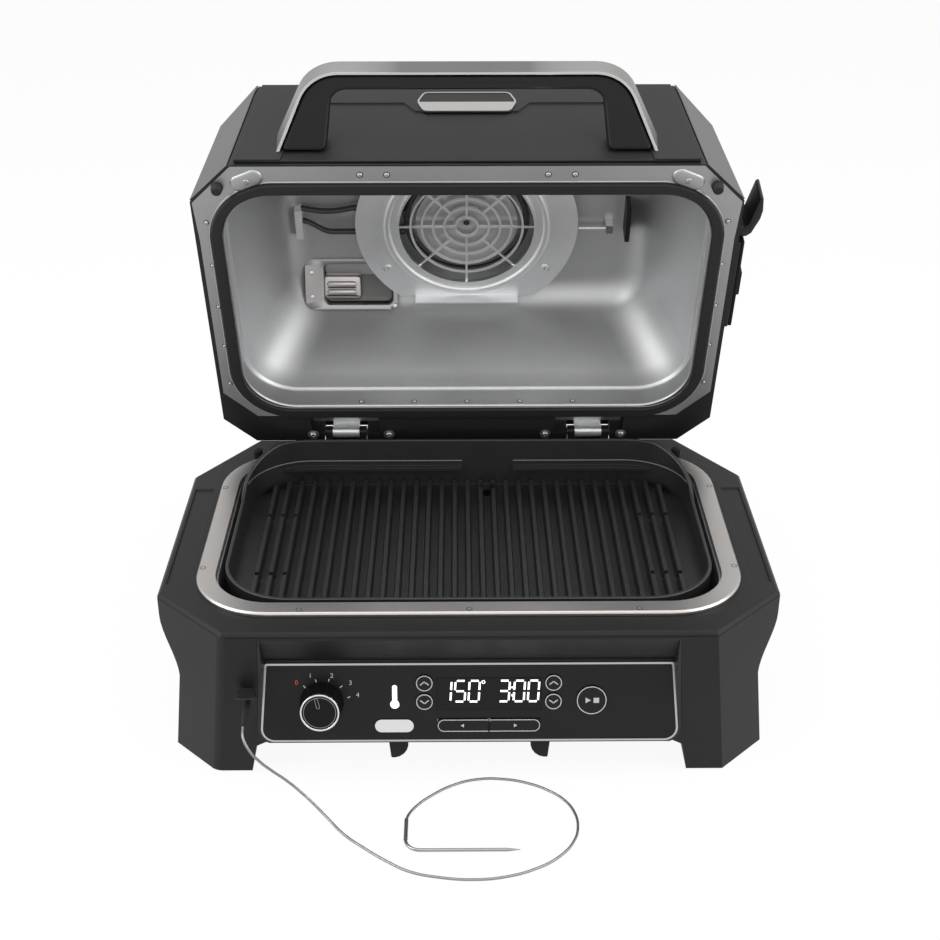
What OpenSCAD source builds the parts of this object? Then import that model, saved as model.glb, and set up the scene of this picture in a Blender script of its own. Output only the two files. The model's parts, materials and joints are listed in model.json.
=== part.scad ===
// Countertop electric grill with a hinged lid, drawn with the lid open.
// X runs to the right, the front faces -Y, and the feet stand on Z = 0.

/* [Base] */
// Width of the base over its top band
body_w = 600; // [570:1:640]
// Depth of the base
body_d = 400; // [395:1:430]
// Height of the deck above the floor
deck_z = 176; // [172:1:190]
// Thickness of the deck plate
deck_t = 5; // [4:0.5:6]
// Corner cut of the deck at the front
front_cut = 70; // [60:1:76]
// Corner cut of the deck at the back, across
rear_cut_x = 62; // [50:1:70]
// Corner cut of the deck at the back, along the side
rear_cut_y = 90; // [70:1:97]
// Height of the upright band under the deck
band_h = 20; // [16:1:22]
// Height of the curve from the band to the legs
waist_h = 58; // [50:1:62]
// Set-back of the waist from the band at the sides
waist_in = 17.5; // [12:0.5:20]
// Wall of the base shell
shell_wall = 4; // [3:0.5:5]
// Set-back of the legs at the floor, at the sides
leg_inset_x = 5.5; // [3:0.5:8]
// Set-back of the legs at the floor, at the front
leg_inset_y = 20; // [16:1:22]
// Corner cut of the legs
leg_cut = 45; // [40:1:50]
// Width of a leg, seen from the front
leg_w = 86; // [80:1:92]
// Clear height under the body between the legs
arch_z = 46; // [42:1:50]
// Height of a foot pad
foot_h = 2; // [1.5:0.5:3]
// Radius of a foot pad
foot_r = 17; // [12:1:18]
// Width of a side trough in the deck
trough_w = 19; // [14:1:20]
// Depth of a side trough in the deck
trough_h = 1.5; // [1:0.5:2]

/* [Hearth] */
// Set-back of the steel ring from each side of the base
ring_side = 34; // [32:1:37]
// Width of the ring's band
ring_band = 19; // [17:1:20]
// Height of the ring over the deck
ring_h = 5; // [4:0.5:6]
// Set-back of the ring from the front of the base
ring_front = 27; // [25:1:30]
// Set-back of the ring from the back of the base
ring_rear = 42; // [40:1:44]
// Outer corner radius of the ring
ring_r = 76; // [70:1:80]
// Depth of the tub under the ring
hearth_h = 74; // [66:1:78]
// Sheet thickness of the tub
sheet = 1.5; // [1.2:0.1:2]

/* [Grill plate] */
// Gap between the ring and the plate
plate_gap = 6.5; // [6:0.5:8]
// Set-back of the plate from the back of the base
plate_rear = 76; // [75:1:82]
// Height of the back wall over the ring
plate_back_h = 33; // [20:1:36]
// Depth of the plate's floor under its rim
plate_depth = 20; // [16:1:24]
// Wall of the plate
plate_wall = 4; // [3:0.5:5]
// Corner radius of the plate
plate_r = 70; // [66:1:74]
// Pitch of the ridges
rib_pitch = 14; // [12:0.5:16]
// Height of the ridges
rib_h = 9; // [6:0.5:11]

/* [Control panel] */
// Lean of the panel
panel_tilt = 13; // [10:1:15]
// Set-in of the panel from each side of the base
panel_side = 105; // [103:1:110]
// Height of the panel along its lean
panel_h = 76; // [72:1:78]
// Height of the panel's lower edge above the floor
panel_z = 51; // [50:0.5:54]
// Set-back of the panel's lower edge from the front of the base
panel_set = 7; // [5:1:9]
// Thickness of the panel's face
panel_t = 3; // [2:0.5:4]
// Radius of the panel's lower corners
panel_r = 11; // [6:1:14]
// Radius of the dial
knob_r = 19.5; // [16:0.5:21]
// How far the dial stands out
knob_h = 24; // [16:1:28]
// Radius of a small round button
button_r = 8.2; // [7:0.1:8.6]
// Radius of the start button
start_r = 14.5; // [12:0.5:15]
// How far a button stands out
button_h = 1.8; // [1.5:0.1:2.5]

/* [Lid] */
// How far the lid's rim stands out past the ring at each side
lid_side = 6; // [6:0.5:8]
// Set-back of the lid from the front of the base
lid_front = 15; // [10:1:15]
// Set-back of the lid from the back of the base
lid_rear = 14; // [12:1:14]
// Height of the lid from rim to top
lid_h = 164; // [160:1:176]
// Fall of the lid's top towards its sides
lid_brow = 15; // [10:1:18]
// Inward lean of the sides
lid_lean_x = 15; // [12:1:17]
// Inward lean of the front
lid_lean_f = 15; // [10:1:18]
// Inward lean of the back
lid_lean_r = 6; // [2:1:8]
// Corner cut at the front
lid_cut = 43; // [40:1:46]
// Corner cut at the back
lid_rear_cut = 34; // [30:1:36]
// Wall of the lid shell
lid_wall = 3; // [2.5:0.5:4]
// Gap between the deck and the lid's rim when it is shut
rim_gap = 10; // [9.5:0.5:11]
// How far the lid opens
open_angle = 72; // [60:1:80]
// Width of the rubber seal
gasket_w = 16; // [14:1:16]
// Space between the liner's ceiling and the lid's top
roof_space = 18; // [16:1:22]
// Fillet at the cavity's ceiling
cavity_r = 50; // [40:1:55]

/* [Handle] */
// Straight width of the grip
grip_w = 252; // [230:1:262]
// How far the handle stands out from the front panel
grip_out = 58; // [50:1:62]
// Height of the grip bar's outer face
grip_h = 20; // [18:1:24]
// Thickness of the grip bar along the handle's slope
grip_t = 18.6; // [16:0.2:20]
// Height of the grip bar over the rim
grip_z = 81; // [76:1:86]
// Radius of the handle's bends
grip_r = 38; // [34:1:42]
// Thickness of the steel strap
strap_t = 3; // [2:0.5:4]
// Outward lean of a handle leg
leg_splay = 20; // [16:1:22]

/* [Hinge] */
// Distance of a hinge from the middle
hinge_x = 137; // [130:1:150]
// Set-back of the hinge pin from the back of the base
hinge_set = 19; // [18:1:20]
// Height of the hinge pin over the deck
hinge_h = 19; // [18.5:0.5:20]
// Length of a lid barrel
barrel_l = 30; // [26:1:34]
// Outer radius of a lid barrel
barrel_r = 6.5; // [6:0.1:7]
// Radius of a hinge pin
pin_r = 3.5; // [3:0.1:4]

/* [Fan] */
// Radius of the grille's opening
grille_r = 74; // [70:1:78]
// Half width of the guard plate
guard_r = 122; // [116:1:126]
// Distance of the guard from the ceiling
guard_drop = 20; // [19:1:21]
// Radius of the fan
fan_r = 56; // [50:1:58]
// Number of fan blades
fan_blades = 7; // [5:1:9]

/* [Smoke box] */
// Length of the smoke box along the lid's side
smoke_l = 112; // [100:1:120]
// Height of the smoke box
smoke_h = 84; // [70:1:90]
// How far the smoke box stands out from the side
smoke_out = 13; // [10:1:14]

/* [Probe] */
// Diameter of the probe's cable
cable_d = 2.6; // [2:0.2:3]
// Length of the probe's plug
plug_l = 44; // [36:1:48]
// Length of the probe's spike
spike_l = 92; // [80:1:100]

/* [Hidden] */
$fn = 48;
fit = 0.3;
pin_fit = 0.05;
eps = 0.01;
over = 1;
tall = 400;
rim_frame_t = 2;
screw_r = 2.6;
screw_h = 1.4;
wall_cut = 40;
diag = 0.586;

// heights of the base
seam_z = deck_z - deck_t;
ring_z = deck_z + ring_h;
band_z = seam_z - band_h;
waist_z = band_z - waist_h;
front_y = -body_d / 2;
rear_y = body_d / 2;

// ring and plate outlines: half width, front and back
ring_x = body_w / 2 - ring_side;
ring_f = front_y + ring_front;
ring_b = rear_y - ring_rear;
hole_x = ring_x - ring_band;
hole_f = ring_f + ring_band;
hole_b = ring_b - ring_band;
hole_r = ring_r - ring_band;
plate_x = hole_x - plate_gap;
plate_f = hole_f + plate_gap;
plate_b = rear_y - plate_rear;
plate_rim_z = ring_z - 1;
plate_floor_z = plate_rim_z - plate_depth;
ramp_y = plate_b - 80;
ramp_l = 68;
rib_x = plate_x - plate_wall - rib_pitch;
rib_n = floor(rib_x / rib_pitch);
drain_x = 22;
drain_w = 56;
drain_r = 9;
drain_y = plate_b - 24;
tub_z = ring_z - hearth_h;

// lid outline at the rim, in the shut position
lid_x = ring_x + lid_side;
lid_f = front_y + lid_front;
lid_b = rear_y - lid_rear;
rim_z = deck_z + rim_gap;
lid_top_z = rim_z + lid_h;
hinge_y = rear_y - hinge_set;
hinge_z = deck_z + hinge_h;
leaf_up = 12;
leaf_t = 2.5;
leaf_wing = 23;
leaf_back = 5;
barrel_gap = 9;
beam_up = 20;
frame_edge = 3.6;
frame_side = 11;

// seal and cavity follow the ring
seal_x = hole_x + 9;
seal_f = hole_f - 10;
seal_b = hole_b + 8;
seal_r = ring_r - 8;
mouth_x = seal_x - gasket_w;
mouth_f = seal_f + gasket_w;
mouth_b = seal_b - gasket_w;
mouth_r = seal_r - gasket_w;
mouth_edge = 4.3;
liner_z = rim_z + rim_frame_t;
liner_step = 7.5;
liner_step_h = 22;
ceiling_z = lid_top_z - roof_space;
guard_z = ceiling_z - guard_drop;
fan_y = -17;
fan_lift = 8.5;
element_r = 66;
element_tube = 3.2;
element_reach = mouth_x - 60;
lip_y = 96;
post_x = 88;

// smoke outlet on the ceiling
outlet_w = 106;
outlet_l = 60;
outlet_h = 16;
outlet_deep = 14;
outlet_roof = 3;
outlet_x = -131;
outlet_y = mouth_b - 58;
outlet_z = ceiling_z - 1;
outlet_lean = 24;

// handle
face_slope = lid_lean_f / lid_h;
grip_bottom = rim_z + grip_z;
grip_y = lid_f + face_slope * grip_z - grip_out;
leg_foot_z = rim_z + 18;
leg_foot_h = 36;
front_panel_t = 4;
handle_face = lid_f - front_panel_t - fit;
handle_y = handle_face + face_slope * (leg_foot_z - rim_z);
handle_slope = (handle_y - grip_y) / norm([handle_y - grip_y, grip_bottom - leg_foot_z]);
handle_l = (handle_y - grip_y) / handle_slope;
leg_inner_x = grip_w / 2 + 7;

// smoke box
smoke_y = -16;
smoke_z = rim_z + 24;
side_slope = lid_lean_x / lid_h;
smoke_face = lid_x + smoke_out;
smoke_wall = 8;
door_t = 4;

// frame: the middle of the open grill's footprint is at Y = 0
lid_back_reach = hinge_y + (lid_b - lid_lean_r - hinge_y) * cos(open_angle)
  + (lid_top_z - hinge_z) * sin(open_angle);
front_reach = front_y - 15;
frame_y = -(lid_back_reach + front_reach) / 2;

// control panel places: across from the middle, up from its lower edge
panel_y = front_y + panel_set;
panel_w = body_w - 2 * panel_side;
panel_flare = 2.7;
housing_rim = 6;
housing_sill = 4.7;
trim_border = 2.2;
housing_lip = 4;
housing_deep = 26;
scoop_z = seam_z - 3;
knob_at = [-141, 38];
temp_x = -43;
time_x = 80;
button_up_v = 58;
button_down_v = 39;
start_at = [116.5, 40];
pill_h = 13;
pill_v = 14.5;
flavour_at = [-72, pill_v];
flavour_w = 37;
mode_w = 48;
mode_left_x = -6.5;
mode_right_x = 43.5;
lens_at = [18.5, 46.5];
lens_w = 100;
lens_h = 33;
lens_t = 1.2;
lens_sink = 1;
button_depth = 5;
knob_pin_r = 3;

// probe jack on the left leg's front
jack_x = 91 - body_w / 2;
jack_z = 100;
jack_r = 5;
jack_l = 14;
plug_r = 3.2;
jack_flange = 1.5;
jack_y = front_y + leg_inset_y * (seam_z - jack_z - jack_r - jack_flange) / seam_z;
jack_flap_w = 18;
jack_flap_l = 20;
jack_flap_t = 2;
jack_flap_z = jack_z + 9;
jack_flap_y = front_face(jack_flap_z + jack_flap_t) - jack_flap_t / 2 - fit;
plug_end_y = jack_y - plug_l - 2 * jack_flange;

// grease tray at the back
tray_w = 180;
tray_h = 34;
tray_l = 112;
tray_face_t = 4;
tray_face_rim = 6;
tray_z = 60;
tray_wall = 2;
tray_guide_t = 3;
tray_y = rear_y;

// mains inlet at the back
inlet_x = -190;
inlet_z = 82;
inlet_w = 44;
inlet_h = 34;
inlet_l = 18;

// route of the probe's cable: its run from the plug, over the floor, to the spike
cable_z = cable_d / 2 + 0.2;
crimp_r = 2;
crimp_at = [-60, -254];
crimp_l = 28;
spike_r = 1.6;
spike_bend_r = 14;
spike_tip_l = 12;
cable_route = [
  [jack_x, plug_end_y, jack_z], [jack_x + 1.5, plug_end_y - 11.5, jack_z - 4],
  [jack_x + 7, -256, 86], [jack_x + 15, -254, 72], [jack_x + 25, -249, 57], [-173.5, -244, 43],
  [-162, -241, 28], [-149, -243, 14], [-136, -252, 5], [-118, -273, cable_z],
  [-98, -292, cable_z], [-76, -310, cable_z], [-56, -323, cable_z], [-28, -331, cable_z],
  [2, -334, cable_z], [30, -331, cable_z], [60, -320, cable_z], [82, -304, cable_z],
  [96, -284, cable_z], [101, -264, cable_z], [99, -244, cable_z], [91, -227, cable_z],
  [77, -213, cable_z], [56, -201, cable_z], [33, -195, cable_z], [8, -195, cable_z],
  [-15, -203, cable_z], [-37, -219, cable_z], [-51, -234, cable_z], [-58, -246, cable_z],
  [crimp_at[0], crimp_at[1], crimp_r + fit]
];

// places of the three groups

module on_base() {
  translate([0, frame_y, 0]) children();
}

module on_lid() {
  translate([0, frame_y + hinge_y, hinge_z])
    rotate([-open_angle, 0, 0])
      translate([0, -hinge_y, -hinge_z]) children();
}

module on_panel(at = [0, 0], out = 0) {
  translate([0, panel_y, panel_z])
    rotate([90 - panel_tilt, 0, 0])
      translate([at[0], at[1], out]) children();
}

// outlines shared by several pieces

function octagon(x, f, b, cf, cbx, cby) = [
  [cf - x, f], [x - cf, f], [x, f + cf], [x, b - cby],
  [x - cbx, b], [cbx - x, b], [-x, b - cby], [-x, f + cf]
];

function mix(a, b, t) = a + (b - a) * t;

function deck_outline(inset = 0) =
  octagon(body_w / 2 - inset, front_y + inset, rear_y - inset, front_cut - inset * diag,
    rear_cut_x - inset * diag, rear_cut_y - inset * diag);

// side set-back of the base at height z: a band, an S-curve, then legs that flare to the floor
function side_inset(z) = z >= band_z ? 0
  : z >= waist_z ? waist_in * (1 - cos(180 * (band_z - z) / waist_h)) / 2
  : mix(waist_in, leg_inset_x, (waist_z - z) / waist_z);

function front_face(z) = front_y + leg_inset_y * (seam_z - z) / seam_z;

// outline of the base at height z, with flat corner faces
function base_outline(z, inset = 0) =
  let (t = (seam_z - z) / seam_z, foot_x = body_w / 2 - leg_inset_x - leg_cut,
    x = body_w / 2 - side_inset(z) - inset,
    f = front_face(z) + inset,
    b = rear_y - inset,
    cf = x - mix(body_w / 2 - front_cut, foot_x, t) + inset * (1 - diag),
    cb = x - mix(body_w / 2 - rear_cut_x, foot_x, t) + inset * (1 - diag))
  octagon(x, f, b, cf, cb, cb * rear_cut_y / rear_cut_x);

function lid_outline(rise, inset = 0) =
  octagon(lid_x - lid_lean_x * rise - inset, lid_f + lid_lean_f * rise + inset,
    lid_b - lid_lean_r * rise - inset, lid_cut - 2 * rise - inset * diag,
    lid_rear_cut + 4 * rise - inset * diag, lid_rear_cut + 4 * rise - inset * diag);

// flat top of the lid, between the brows at its sides
function lid_top_outline(inset = 0) =
  octagon(lid_x - lid_lean_x - lid_cut + 3 - inset, lid_f + lid_lean_f + inset,
    lid_b - lid_lean_r - inset, over, over, over);

// a closed skin through outlines of equal length, one at each height
module skin(outlines, heights) {
  n = len(outlines[0]);
  m = len(heights);
  polyhedron([for (j = [0:m - 1], p = outlines[j]) [p[0], p[1], heights[j]]],
    concat([[for (i = [0:n - 1]) i]], [[for (i = [n - 1:-1:0]) (m - 1) * n + i]],
      [for (j = [0:m - 2], i = [0:n - 1]) let (a = j * n + i, b = j * n + (i + 1) % n)
        each [[a, a + n, b + n], [a, b + n, b]]]));
}

module rounded_box(x, f, b, r) {
  translate([0, (f + b) / 2])
    offset(r) square([2 * (x - r), b - f - 2 * r], center = true);
}

module slab(z, h) {
  translate([0, 0, z]) linear_extrude(h) children();
}

module side_prism(x, w) {
  translate([x - w / 2, 0, 0]) rotate([90, 0, 90]) linear_extrude(w) children();
}

module both_sides() {
  for (side = [0, 1]) mirror([side, 0, 0]) children();
}

module screw_head(r = screw_r, h = screw_h) {
  difference() {
    cylinder(r = r, h = h);
    translate([0, 0, h / 2]) cylinder(r = r / 2, h = h, $fn = 6);
  }
}

module pill(w, h) {
  offset(h / 2 - eps) square([w - h, 2 * eps], center = true);
}

// base

module base_solid(low, high, inset = 0) {
  steps = 7;
  heights = concat([low, waist_z], [for (i = [1:steps]) waist_z + waist_h * i / (steps + 1)],
    [band_z, high]);
  skin([for (z = heights) base_outline(z, inset)], heights);
}

module arches() {
  foot_half = body_w / 2 - leg_w;
  knee_half = foot_half - 7;
  knee_z = arch_z - 11;
  crown_half = foot_half - 20;
  crown_z = arch_z - 4;
  translate([0, tall, 0]) rotate([90, 0, 0]) linear_extrude(2 * tall)
    polygon([[-foot_half, -over], [foot_half, -over], [knee_half, knee_z], [crown_half, crown_z],
      [crown_half - 6, arch_z], [6 - crown_half, arch_z], [-crown_half, crown_z], [-knee_half, knee_z]]);
  translate([-tall, front_y + leg_w, -over]) cube([2 * tall, body_d - 2 * leg_w, arch_z + over]);
}

module base_shell() {
  guide_gap = tray_guide_t + fit;
  color("#1d1d1f") on_base() difference() {
    base_solid(foot_h, seam_z);
    base_solid(arch_z + shell_wall, seam_z + eps, shell_wall);
    arches();
    housing_block(housing_rim + fit);
    translate([-tray_w / 2 - guide_gap, tray_y - wall_cut / 2, tray_z - guide_gap])
      cube([tray_w + 2 * guide_gap, wall_cut, tray_h + 2 * guide_gap]);
    translate([jack_x, jack_y + wall_cut / 2, jack_z]) rotate([90, 0, 0])
      cylinder(r = jack_r + fit, h = wall_cut);
    translate([inlet_x, tray_y - wall_cut / 2, inlet_z]) cube([inlet_w, wall_cut, inlet_h]);
  }
}

module feet() {
  foot_x = body_w / 2 - leg_inset_x - leg_w / 2 + 0.5;
  foot_f = front_y + leg_inset_y + 32;
  foot_b = rear_y - 36;
  color("#0c0c0c") on_base() for (x = [-foot_x, foot_x], y = [foot_f, foot_b])
    translate([x, y, 0]) cylinder(r = foot_r, h = foot_h);
}

module floor_pan() {
  edge = 20;
  color("#8c8e90") on_base() slab(arch_z + shell_wall, sheet)
    rounded_box(hole_x - edge, hole_f + 2 * edge, hole_b - 3 * edge, edge);
}

module top_deck() {
  lip = 3;
  trough_x = (ring_x + body_w / 2) / 2 + 1;
  trough_f = ring_f + 60;
  trough_b = rear_y - rear_cut_y - 30;
  color("#2b2b2d") on_base() difference() {
    union() {
      slab(seam_z, deck_t - lip) polygon(deck_outline());
      skin([deck_outline(), deck_outline(lip)], [deck_z - lip, deck_z]);
    }
    slab(seam_z - over, deck_t + 2 * over) rounded_box(hole_x, hole_f, hole_b, hole_r);
    both_sides() translate([trough_x - trough_w / 2, trough_f, deck_z - trough_h])
      cube([trough_w, trough_b - trough_f, deck_t]);
  }
}

module trim_ring() {
  roll = 1.8;
  color("#b9b6b3") on_base() difference() {
    hull() {
      slab(deck_z, ring_h - roll) rounded_box(ring_x, ring_f, ring_b, ring_r);
      slab(ring_z - eps, eps) rounded_box(ring_x - roll, ring_f + roll, ring_b - roll, ring_r - roll);
    }
    slab(deck_z - over, ring_h + 2 * over) rounded_box(hole_x, hole_f, hole_b, hole_r);
  }
}

module ring_screws() {
  head_r = 2.2;
  head_h = fit / 2;
  side_x = ring_x - 5;
  side_f = ring_f + ring_r + 6;
  side_b = ring_b - ring_r - 8;
  row_x = 160;
  color("#8f8f90") on_base() translate([0, 0, ring_z]) {
    for (x = [-side_x, side_x], y = [side_f, side_b]) translate([x, y, 0]) screw_head(head_r, head_h);
    for (x = [-row_x, 0, row_x]) translate([x, ring_f + 6, 0]) screw_head(head_r, head_h);
  }
}

module hearth_liner() {
  tub_r = hole_r - fit;
  color("#77797b") on_base() difference() {
    slab(tub_z, hearth_h - ring_h - fit) rounded_box(hole_x - fit, hole_f + fit, hole_b - fit, tub_r);
    slab(tub_z + sheet, hearth_h)
      rounded_box(hole_x - fit - sheet, hole_f + fit + sheet, hole_b - fit - sheet, tub_r - sheet);
    translate([drain_x, drain_y, tub_z - over]) cylinder(r = drain_r + 4, h = sheet + 2 * over);
  }
}

module plate_studs() {
  stud_z = tub_z + sheet;
  stud_x = 180;
  color("#5c5e60") on_base() for (x = [-stud_x, stud_x], y = [plate_f + 40, plate_b - 50])
    translate([x, y, stud_z]) cylinder(r = 7, h = plate_floor_z - plate_wall - stud_z);
}

// control panel

module panel_outline(grow = 0, top = panel_h) {
  low = panel_w / 2 + panel_flare + grow;
  high = low - 2 * panel_flare * top / panel_h;
  r = panel_r + grow;
  corner = 2;
  hull() {
    translate([r - low, r - grow]) circle(r);
    translate([low - r, r - grow]) circle(r);
    translate([corner - high, top + grow - corner]) circle(corner);
    translate([high - corner, top + grow - corner]) circle(corner);
  }
}

module housing_block(grow) {
  rise = panel_h + 60;
  reach = 40;
  intersection() {
    on_panel([0, 0], -2 * housing_deep) linear_extrude(2 * housing_deep + reach) panel_outline(grow, rise);
    translate([-tall, -tall, 0]) cube([2 * tall, 2 * tall, scoop_z]);
  }
}

module panel_housing() {
  function plane_y(z) = panel_y + (z - panel_z) * tan(panel_tilt);
  low_z = panel_z - housing_sill;
  lip_z = panel_z + (panel_h + housing_lip) * cos(panel_tilt);
  cross_z = panel_z + 20;
  back = 8;
  floor_t = 5;
  cheek = 9;
  half = panel_w / 2 + housing_rim + panel_flare;
  color("#202022") on_base() difference() {
    intersection() {
      housing_block(housing_rim);
      union() {
        side_prism(0, 2 * tall) polygon([[plane_y(low_z), low_z], [plane_y(lip_z), lip_z],
          [front_face(scoop_z), scoop_z], [front_face(scoop_z) + back / 2, scoop_z],
          [plane_y(lip_z) + back, lip_z], [plane_y(low_z + floor_t) + back, low_z + floor_t],
          [plane_y(low_z) + housing_deep, low_z + floor_t], [plane_y(low_z) + housing_deep, low_z]]);
        both_sides() side_prism(half - cheek / 2, cheek) polygon([[front_face(cross_z), cross_z],
          [front_face(scoop_z), scoop_z], [plane_y(lip_z), lip_z + 2], [plane_y(cross_z) + 2, cross_z]]);
      }
    }
    on_panel() panel_holes(back + 4);
    on_panel([0, 0], -fit / 2) linear_extrude(wall_cut) panel_outline(trim_border + fit);
  }
}

module panel_holes(depth) {
  translate([knob_at[0], knob_at[1], -depth]) cylinder(r = knob_pin_r + pin_fit, h = 2 * depth);
  for (x = [temp_x, time_x], v = [button_down_v, button_up_v])
    translate([x, v, -depth]) cylinder(r = button_r + fit, h = 2 * depth);
  translate([start_at[0], start_at[1], -depth]) cylinder(r = start_r + fit, h = 2 * depth);
  translate([flavour_at[0], flavour_at[1], -depth]) linear_extrude(2 * depth)
    pill(flavour_w + 2 * fit, pill_h + 2 * fit);
  for (x = [mode_left_x, mode_right_x]) translate([x, pill_v, -depth]) linear_extrude(2 * depth)
    square([mode_w + 2 * fit, pill_h + 2 * fit], center = true);
}

module control_panel() {
  color("#141416") on_base() on_panel() difference() {
    linear_extrude(panel_t) panel_outline();
    panel_holes(panel_t + over);
    translate([lens_at[0], lens_at[1], panel_t - lens_sink]) linear_extrude(lens_sink + over)
      square([lens_w + 2 * fit, lens_h + 2 * fit], center = true);
  }
}

module panel_trim() {
  proud = 0.6;
  color("#c4c4c6") on_base() on_panel() linear_extrude(panel_t + proud) difference() {
    panel_outline(trim_border);
    panel_outline(fit);
  }
}

module display_lens() {
  corner = 2;
  color("#0a0a0c") on_base() on_panel(lens_at, panel_t - lens_sink) linear_extrude(lens_t)
    offset(corner) square([lens_w - 2 * corner, lens_h - 2 * corner], center = true);
}

module stand_hooks() {
  drop = arch_z - 13;
  root_y = front_y + leg_inset_y + 26;
  tip_y = front_y + leg_inset_y + 4;
  color("#161617") on_base() both_sides()
    side_prism(70, 20) polygon([[root_y, arch_z], [tip_y + 4, arch_z], [tip_y, arch_z - drop],
      [tip_y + 12, arch_z - drop], [tip_y + 14, arch_z - drop + 7], [root_y, arch_z - 6]]);
}

// hinge

module hinge_brackets() {
  lug_w = 8;
  pad_w = 10;
  pad_t = 3;
  back_t = 3;
  back_h = hinge_h - barrel_r - 2;
  color("#1a1a1b") on_base() both_sides() {
    translate([hinge_x - barrel_l / 2 - fit - lug_w, hinge_y + barrel_r - back_t, deck_z])
      cube([barrel_l + 2 * fit + 2 * lug_w, back_t, back_h]);
    for (side = [-1, 1]) translate([hinge_x + side * (barrel_l / 2 + fit + lug_w / 2), hinge_y, deck_z])
      difference() {
        union() {
          translate([-lug_w / 2, -barrel_r, 0]) cube([lug_w, 2 * barrel_r, hinge_h]);
          translate([0, 0, hinge_h]) rotate([0, 90, 0])
            cylinder(r = barrel_r, h = lug_w, center = true);
          translate([side * pad_t - pad_w / 2, -barrel_r, 0]) cube([pad_w, 2 * barrel_r, pad_t]);
        }
        translate([0, 0, hinge_h]) rotate([0, 90, 0])
          cylinder(r = pin_r, h = 4 * lug_w, center = true);
      }
  }
}

module hinge_pins() {
  ends = 16;
  color("#b8b8ba") on_base() both_sides() translate([hinge_x, hinge_y, hinge_z]) rotate([0, 90, 0])
    cylinder(r = pin_r, h = barrel_l + ends, center = true);
}

module hinge_leaves() {
  leaf_w = barrel_l + 2 * leaf_wing;
  leaf_f = 26;
  neck = 6;
  screw_in = 9;
  color("#232325") on_lid() both_sides() translate([hinge_x, hinge_y, hinge_z]) difference() {
    union() {
      rotate([0, 90, 0]) cylinder(r = barrel_r, h = barrel_l, center = true);
      translate([-barrel_l / 2, -neck / 2, 0]) cube([barrel_l, neck, leaf_up + eps]);
      translate([-leaf_w / 2, -leaf_f, leaf_up]) cube([leaf_w, leaf_f - leaf_back - fit, leaf_t]);
      translate([-barrel_l / 2, -leaf_f, leaf_up]) cube([barrel_l, leaf_f, leaf_t]);
      for (x = [-1, 1]) translate([x * (leaf_w / 2 - screw_in), -leaf_f / 2, leaf_up - screw_h])
        cylinder(r = screw_r, h = screw_h + eps);
    }
    rotate([0, 90, 0]) cylinder(r = pin_r + pin_fit, h = tall, center = true);
  }
}

module rear_stops() {
  stop_x = ring_x - 31;
  stop_y = ring_b - 1;
  color("#111112") on_base() both_sides() translate([stop_x, stop_y, deck_z])
    cylinder(r = 5, h = rim_gap - 2);
}

// pieces at the front leg and the back

module probe_jack() {
  sunk = 2;
  color("#303033") on_base() translate([jack_x, jack_y, jack_z]) rotate([90, 0, 0]) difference() {
    union() {
      cylinder(r = jack_r + jack_flange, h = jack_flange);
      translate([0, 0, -jack_l]) cylinder(r = jack_r, h = jack_l + eps);
    }
    translate([0, 0, sunk - jack_l]) cylinder(r = plug_r - 1, h = 2 * jack_l);
  }
}

module jack_flap() {
  color("#19191a") on_base() translate([jack_x - 1, jack_flap_y, jack_flap_z]) {
    translate([-jack_flap_w / 2, -jack_flap_l, 0]) cube([jack_flap_w, jack_flap_l, jack_flap_t]);
    translate([0, 0, jack_flap_t / 2]) rotate([0, 90, 0])
      cylinder(r = jack_flap_t / 2, h = jack_flap_w, center = true);
  }
}

module power_inlet() {
  lip = 3;
  body_w_in = inlet_w - 2 * fit;
  body_h_in = inlet_h - 2 * fit;
  socket = [28, 30, 20];
  color("#111112") on_base() translate([inlet_x + fit, tray_y - inlet_l, inlet_z + fit]) difference() {
    union() {
      cube([body_w_in, inlet_l + 2, body_h_in]);
      translate([-lip, inlet_l + fit, -lip]) cube([body_w_in + 2 * lip, lip + 1, body_h_in + 2 * lip]);
    }
    translate([(body_w_in - socket[0]) / 2, 2 * lip, (body_h_in - socket[2]) / 2]) cube(socket);
  }
}

module tray_guide() {
  back = 4;
  color("#6f7173") on_base() difference() {
    translate([-tray_w / 2 - tray_guide_t, tray_y - tray_l - back, tray_z - tray_guide_t])
      cube([tray_w + 2 * tray_guide_t, tray_l + back - over, tray_h + 2 * tray_guide_t]);
    translate([-tray_w / 2 - fit, tray_y - tray_l - over, tray_z - fit])
      cube([tray_w + 2 * fit, tall, tray_h + 2 * fit]);
    translate([drain_x, drain_y, tray_z]) cylinder(r = drain_r + 2, h = tall);
  }
}

module grease_tray() {
  in_w = tray_w - 2 * tray_wall;
  in_l = tray_l - 2 * tray_wall;
  color("#2a2a2b") on_base() difference() {
    union() {
      translate([-tray_w / 2, tray_y - tray_l, tray_z]) cube([tray_w, tray_l + over, tray_h]);
      translate([-tray_w / 2 - tray_face_rim, tray_y + fit, tray_z - tray_face_t])
        cube([tray_w + 2 * tray_face_rim, tray_face_t, tray_h + 2 * tray_face_t]);
    }
    translate([-in_w / 2, tray_y - tray_l + tray_wall, tray_z + tray_wall]) cube([in_w, in_l, tray_h]);
  }
}

// grill plate

module ridges() {
  half = rib_pitch * 0.14;
  flank = 1.5;
  polygon(concat([[-rib_x, 0]],
    [for (i = [-rib_n:rib_n]) each [[i * rib_pitch - half - flank, 0], [i * rib_pitch - half, rib_h],
      [i * rib_pitch + half, rib_h], [i * rib_pitch + half + flank, 0]]],
    [[rib_x, 0], [rib_x, -over], [-rib_x, -over]]));
}

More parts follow.
